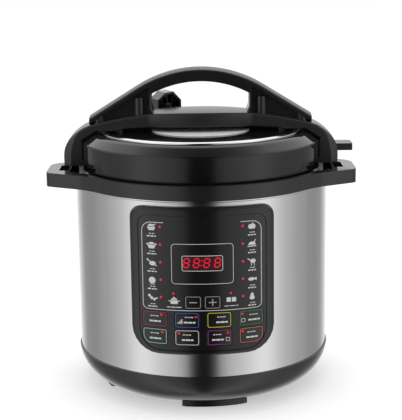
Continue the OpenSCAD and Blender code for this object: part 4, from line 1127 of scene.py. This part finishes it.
def patch(mesh, x, z, *corners):
    """Small filled shape with round corners."""
    shape = bmesh.new()
    wire(shape, [(x + px, z + pz, radius) for px, pz, radius in corners], segments=4)
    fill(shape)
    add(mesh, shape)


def line(mesh, corners, width=0.8, gap=None):
    """Printed line along a closed outline; gap leaves its top open over a half width."""
    ring = bmesh.new()
    wire(ring, corners, segments=8)
    face = ring.faces.new(list(loop_in_order(ring)))
    face.normal_update()
    bmesh.ops.inset_region(ring, faces=[face], thickness=width, use_even_offset=True, use_boundary=True)
    bmesh.ops.delete(ring, geom=[face], context="FACES")
    if gap:
        for x in (-gap, gap):
            cut_across(ring, x)
        top = max(v.co.z for v in ring.verts)
        centres = [(f, f.calc_center_median()) for f in ring.faces]
        opening = [f for f, at in centres if abs(at.x) < gap and at.z > top - 3]
        bmesh.ops.delete(ring, geom=opening, context="FACES")
    add(mesh, ring)


def loop_in_order(mesh):
    """Verts of a single closed wire, walked round."""
    first = vert = next(iter(mesh.verts))
    edge = vert.link_edges[0]
    while True:
        yield vert
        vert = edge.other_vert(vert)
        edge = next(e for e in vert.link_edges if e != edge)
        if vert == first:
            return


def words(mesh, x, z, *widths, height=1.1, gap=0.7):
    """Row of short bars that stands for a few words."""
    run = sum(widths) + gap * (len(widths) - 1)
    at = x - run / 2
    for width in widths:
        bar(mesh, at + width / 2, z, width, height)
        at += width + gap


def printed(name, mesh, material, body="housing", lift=0.06):
    """Finishes a flat print: bent to the film, facing out, riding on a body."""
    wrap_front(mesh, film_r + lift)
    mesh.normal_update()
    bmesh.ops.reverse_faces(mesh, faces=[f for f in mesh.faces if f.normal.y > 0])
    bmesh.ops.scale(mesh, vec=(MM, MM, MM), verts=mesh.verts)
    place(name, stored(name, mesh), material, (), body, "panel_gloss", even=False)


figure_lean = 0.14


def digit(mesh, x, z):
    """Seven lit segments of a leaning figure."""
    for up in (-4.3, 0.0, 4.3):
        bar(mesh, x + figure_lean * up, z + up, 4.0, 1.3)
    for side in (-2.5, 2.5):
        for up in (-2.15, 2.15):
            bar(mesh, x + side + figure_lean * up, z + up, 1.35, 3.1, lean=figure_lean)


def lamps():
    """Lit figures with their colon, the two rows of programme lamps and the pair below."""
    mesh = bmesh.new()
    digit_z = window_z + 1.4
    for x in (-15.3, -5.7, 4.2, 14.5):
        digit(mesh, x, digit_z)
    for up in (-2.4, 2.4):
        spot(mesh, -0.8 + figure_lean * up, digit_z + up, 0.7)
    for x in (-40.2, 38.8):
        for i in range(5):
            spot(mesh, x, 191.0 - i * 17.3, 1.2)
    spot(mesh, -28.2, 126.0, 1.15)
    spot(mesh, 27.0, 125.8, 1.15)
    printed("panel_lamps", mesh, led_red, lift=0.12)


def window_print():
    """Dark red ground of the figures with a line round it and one round the window."""
    ground_z = window_z + 0.9
    printed("window_ground", plan_sheet(0, box_corners(0, ground_z, 38.0, 13.9, 1.4)), window_red)
    mesh = bmesh.new()
    line(mesh, box_corners(0, ground_z, 39.4, 15.3, 2.0), 0.55)
    line(mesh, box_corners(0, window_z + 0.2, 59.6, 39.6, 3.6), 0.5)
    printed("window_lines", mesh, ink_white)


# Signs of the programmes: each stroke is a tool, its offset from the sign's middle and its shape.
signs = {
    "bowl": (
        (patch, 0, 0, (-4.2, 0.4, 0), (-2.4, -3.0, 1), (2.4, -3.0, 1), (4.2, 0.4, 0)),
        (patch, 0, 0, (-3.6, 1.0, 0), (3.6, 1.0, 0), (2.0, 3.2, 1), (-2.0, 3.2, 1)),
        (bar, 3.4, 2.9, 2.6, 0.6, 35)),
    "tureen": (
        (patch, 0, 0, (-3.9, 0.2, 0), (-2.6, -3.4, 1.4), (2.6, -3.4, 1.4), (3.9, 0.2, 0)),
        (patch, 0, 0, (-3.4, 0.8, 0), (3.4, 0.8, 0), (1.6, 2.9, 1), (-1.6, 2.9, 1)),
        (spot, -4.0, 0.9, 0.9), (spot, 4.0, 0.9, 0.9)),
    "fowl": (
        (spot, 0.6, -0.6, 3.1, 0.72), (bar, -3.0, 2.0, 3.6, 1.1, -40),
        (bar, 3.6, -2.4, 2.6, 0.9, -35), (spot, -4.2, 3.1, 0.9)),
    "bun": (
        (spot, 0, 0, 3.3), (bar, 0, -3.9, 5.0, 0.5)),
    "links": (
        (spot, -3.0, 2.0, 1.4), (spot, -1.0, -0.2, 1.5), (spot, 1.6, -1.6, 1.3),
        (bar, 3.4, -0.4, 3.4, 1.2, 15)),
    "pumpkin": (
        (spot, -1.6, -0.4, 1.9, 1.25), (spot, 0, -0.4, 1.9, 1.25), (spot, 1.6, -0.4, 1.9, 1.25),
        (bar, 0.6, 2.7, 1.8, 0.8, 50)),
    "roast": (
        (patch, 0, 0, (-3.8, -1.2, 0.4), (3.8, -1.2, 0.4), (2.6, 2.2, 1.4), (-2.2, 1.8, 1.4)),
        (bar, 0, -2.4, 8.4, 0.9), (bar, 3.0, 3.0, 2.6, 0.8, 50)),
    "shank": (
        (spot, 1.0, 0.4, 2.6, 0.8), (bar, -2.8, 2.0, 3.6, 0.9, -35),
        (bar, -0.6, -2.6, 0.7, 3.4), (bar, 2.2, -2.6, 0.7, 3.4)),
    "fish": (
        (spot, -0.6, 0, 3.2, 0.52), (patch, 0, 0, (1.6, 0, 0), (4.4, -1.8, 0.2), (4.4, 1.8, 0.2))),
    "egg": (
        (patch, 0, 0, (-2.6, -1.4, 1.8), (2.6, -1.4, 1.8), (0.9, 3.8, 0.8), (-0.9, 3.8, 0.8)),
        (spot, 0, -1.2, 2.5, 0.8)),
    "casserole": (
        (patch, 0, 0, (-3.8, 0.6, 0.2), (-3.4, -3.0, 0.8), (3.4, -3.0, 0.8), (3.8, 0.6, 0.2)),
        (patch, 0, 0, (-3.4, 1.2, 0), (3.4, 1.2, 0), (1.8, 2.8, 0.8), (-1.8, 2.8, 0.8)),
        (bar, 0, 3.5, 1.8, 0.9), (bar, -4.7, 0, 1.6, 0.9), (bar, 4.7, 0, 1.6, 0.9)),
    "warmer": (
        (patch, 0, 0, (-0.5, -2.2, 0), (-4.6, -2.2, 0.6), (-4.6, 2.2, 0.6), (-0.5, 2.2, 0)),
        (patch, 0, 0, (0.5, -2.2, 0), (4.6, -2.2, 0.6), (4.6, 2.2, 0.6), (0.5, 2.2, 0))),
}


def draw_sign(mesh, name, x, z):
    """One sign, stroke by stroke."""
    for tool, right, up, *shape in signs[name]:
        tool(mesh, x + right, z + up, *shape)


def programme_print():
    """Line round the programmes, open at its top, and a sign over a pair of words for each."""
    mesh = bmesh.new()
    line(mesh, box_corners(-0.5, 152.2, 115.0, 86.5, 9, 5), 0.6, gap=36.8)
    left = ("bowl", "tureen", "fowl", "bun", "links")
    right = ("pumpkin", "roast", "shank", "fish", "egg")
    for i in range(5):
        z = 190.2 - i * 17.4
        for x, names, widths in ((-48.4, left, (3.2, 2.6)), (47.6, right, (2.4, 2.2))):
            draw_sign(mesh, names[i], x, z)
            words(mesh, x + 0.4, z - 6.1, 1.8, 2.4, height=0.8)
            words(mesh, x, z - 8.6, *widths, 1.6, height=1.2)
    draw_sign(mesh, "casserole", -27.6, 118.6)
    draw_sign(mesh, "warmer", 27.4, 119.4)
    words(mesh, -27.6, 112.4, 3.4, 4.2, 5.0, height=0.9)
    words(mesh, 27.4, 113.2, 4.4, 5.2, 2.4, height=0.7)
    printed("programme_marks", mesh, ink_white)


def pad_prints():
    """Coloured line, words and lamp of each pad, and the line and sign of the small ones."""
    dots = {1: (6.6, 4.6), 2: (8.6, 3.4), 4: (-8.8, 4.6), 5: (7.0, 4.4), 6: (-8.0, 4.4), 7: (8.2, 4.4),
            8: (-8.8, 4.6)}
    offsets = {2: 2.6, 3: 2.6, 4: 2.6, 7: -1.6}
    for number, pad_ink in enumerate(pad_inks, 1):
        x, z = key_centre(f"key_{number}")
        body = f"key_{number}_body"
        mesh = bmesh.new()
        line(mesh, key_corners(number, -0.45), 0.62)
        printed(f"pad_{number}_line", mesh, pad_ink, body)
        mesh = bmesh.new()
        offset = offsets.get(number, 0.4)
        words(mesh, x + offset - 0.6, z + 3.0, 2.2, 1.6, 2.8, height=0.9)
        words(mesh, x + offset, z - 2.2, 3.4, 4.2, 2.6, height=1.6, gap=0.5)
        if number == 2:
            for i, tall in enumerate((1.6, 3.0, 4.6)):
                bar(mesh, x - 8.4 + i * 1.7, z - 3.6 + tall / 2, 1.1, tall)
        if number in (4, 7):
            line(mesh, box_corners(x + (-8.0 if number == 4 else 8.0), z - 2.0, 3.8, 3.8, 0.8), 0.5)
        printed(f"pad_{number}_words", mesh, ink_white, body)
        if number in dots:
            mesh = bmesh.new()
            spot(mesh, x + dots[number][0], z + dots[number][1], 1.15)
            printed(f"pad_{number}_lamp", mesh, led_red, body)
    for sign in ("minus", "plus"):
        x, z = key_centre(f"key_{sign}")
        mesh = bmesh.new()
        line(mesh, small_corners(f"key_{sign}", -0.3), 0.5)
        bar(mesh, x, z, 7.4, 1.0)
        if sign == "plus":
            bar(mesh, x, z + 2.0, 1.0, 3.0)
            bar(mesh, x, z - 2.0, 1.0, 3.0)
        printed(f"pad_{sign}_lines", mesh, ink_dim, f"key_{sign}_body")


window_print()
programme_print()
pad_prints()
lamps()


# ---------- camera, light and floor ----------

def tilt(degrees, axis):
    """A turn of the camera."""
    return Matrix.Rotation(math.radians(degrees), 4, axis)


def walls(tree, around, levels):
    """Brightness round the room, from (degrees off the front, level) pairs."""
    stops = [(angle / 180, rgb(level, level, level)) for angle, level in levels]
    return tree.add("ShaderNodeValToRGB", {"stops": stops}, {"Fac": around})


def studio():
    """Camera, one soft lamp over the object, the room's light and the pale floor."""
    scene = bpy.context.scene
    camera = bpy.data.cameras.new("camera")
    camera.lens = 107.14
    camera.sensor_width = 36
    camera.clip_start = 0.05
    camera.clip_end = 60
    viewer = bpy.data.objects.new("camera", camera)
    pan, down, roll = 0.03, 12.11, -0.78
    stand = Matrix.Translation((0, -1.2863, 0.4553))
    viewer.matrix_world = stand @ tilt(pan, "Z") @ tilt(90 - down, "X") @ tilt(roll, "Z")
    scene.collection.objects.link(viewer)
    scene.camera = viewer

    lamp = bpy.data.lights.new("soft_box", "AREA")
    lamp.shape = "RECTANGLE"
    lamp.size = 0.9
    lamp.size_y = 0.9
    lamp.energy = 4.0
    above = bpy.data.objects.new("soft_box", lamp)
    above.location = (0, 0.05, 1.3)
    above.visible_glossy = False
    scene.collection.objects.link(above)

    world = bpy.data.worlds.new("studio")
    scene.world = world
    tree = Tree(world)
    x, y, z = tree.axes(tree.add("ShaderNodeTexCoord", output="Generated"))
    around = x.maths("ABSOLUTE").maths("ARCTAN2", y * -1.0) / math.pi
    low_walls = walls(tree, around, [
        (0, 0.01), (6, 0.02), (11, 0.12), (16, 0.42), (24, 0.66), (38, 0.86), (49, 1.06), (55, 1.15),
        (62, 1.10), (68, 0.97), (75, 0.80), (82, 0.68), (90, 0.60), (97, 0.52), (106, 0.48), (115, 0.40),
        (126, 0.38), (139, 0.42), (155, 0.8), (165, 1.0)])
    high_walls = walls(tree, around, [(0, 0.02), (14, 0.06), (30, 0.5), (60, 1.0), (110, 1.2), (180, 1.2)])
    sides = tree.blend(((z - 0.08) * 5.0).clipped(), low_walls, high_walls)
    in_roof = (z * 5.0 - 4.0).clipped()
    cards = tree.blend(in_roof, sides, rgb(0.05, 0.05, 0.05))
    rays = tree.add("ShaderNodeLightPath").socket.node.outputs
    glossy = Wire(tree, rays["Is Glossy Ray"])
    seen = (Wire(tree, rays["Is Camera Ray"]) + Wire(tree, rays["Is Transmission Ray"])).clipped()
    light = tree.blend(glossy, rgb(0.72, 0.72, 0.72), cards)
    background = tree.blend(seen, light, rgb(1, 1, 1))
    shade = tree.add("ShaderNodeBackground", {}, {"Color": background, "Strength": 1.0})
    tree.add("ShaderNodeOutputWorld", {}, {"Surface": shade})

    mesh = bmesh.new()
    bmesh.ops.create_grid(mesh, x_segments=1, y_segments=1, size=8.0)
    floor = bpy.data.objects.new("floor", stored("floor", mesh))
    floor.location.z = -0.0002
    scene.collection.objects.link(floor)
    floor.visible_glossy = False
    material, tree = finish("pale_floor")
    grain = tree.noise(3.0, 2.0)
    pale = tree.blend(grain, rgb(0.8, 0.8, 0.8), rgb(0.82, 0.82, 0.82))
    paper = tree.add("ShaderNodeBsdfDiffuse", {}, {"Color": pale})
    in_view = tree.add("ShaderNodeLightPath", output="Is Camera Ray")
    glow = tree.add("ShaderNodeEmission", {}, {"Color": rgb(1, 1, 1), "Strength": in_view * 0.45})
    both = tree.add("ShaderNodeAddShader", {}, {0: paper, 1: glow})
    tree.add("ShaderNodeOutputMaterial", {}, {"Surface": both})
    floor.data.materials.append(material)


studio()
bpy.context.scene.view_settings.view_transform = "Standard"
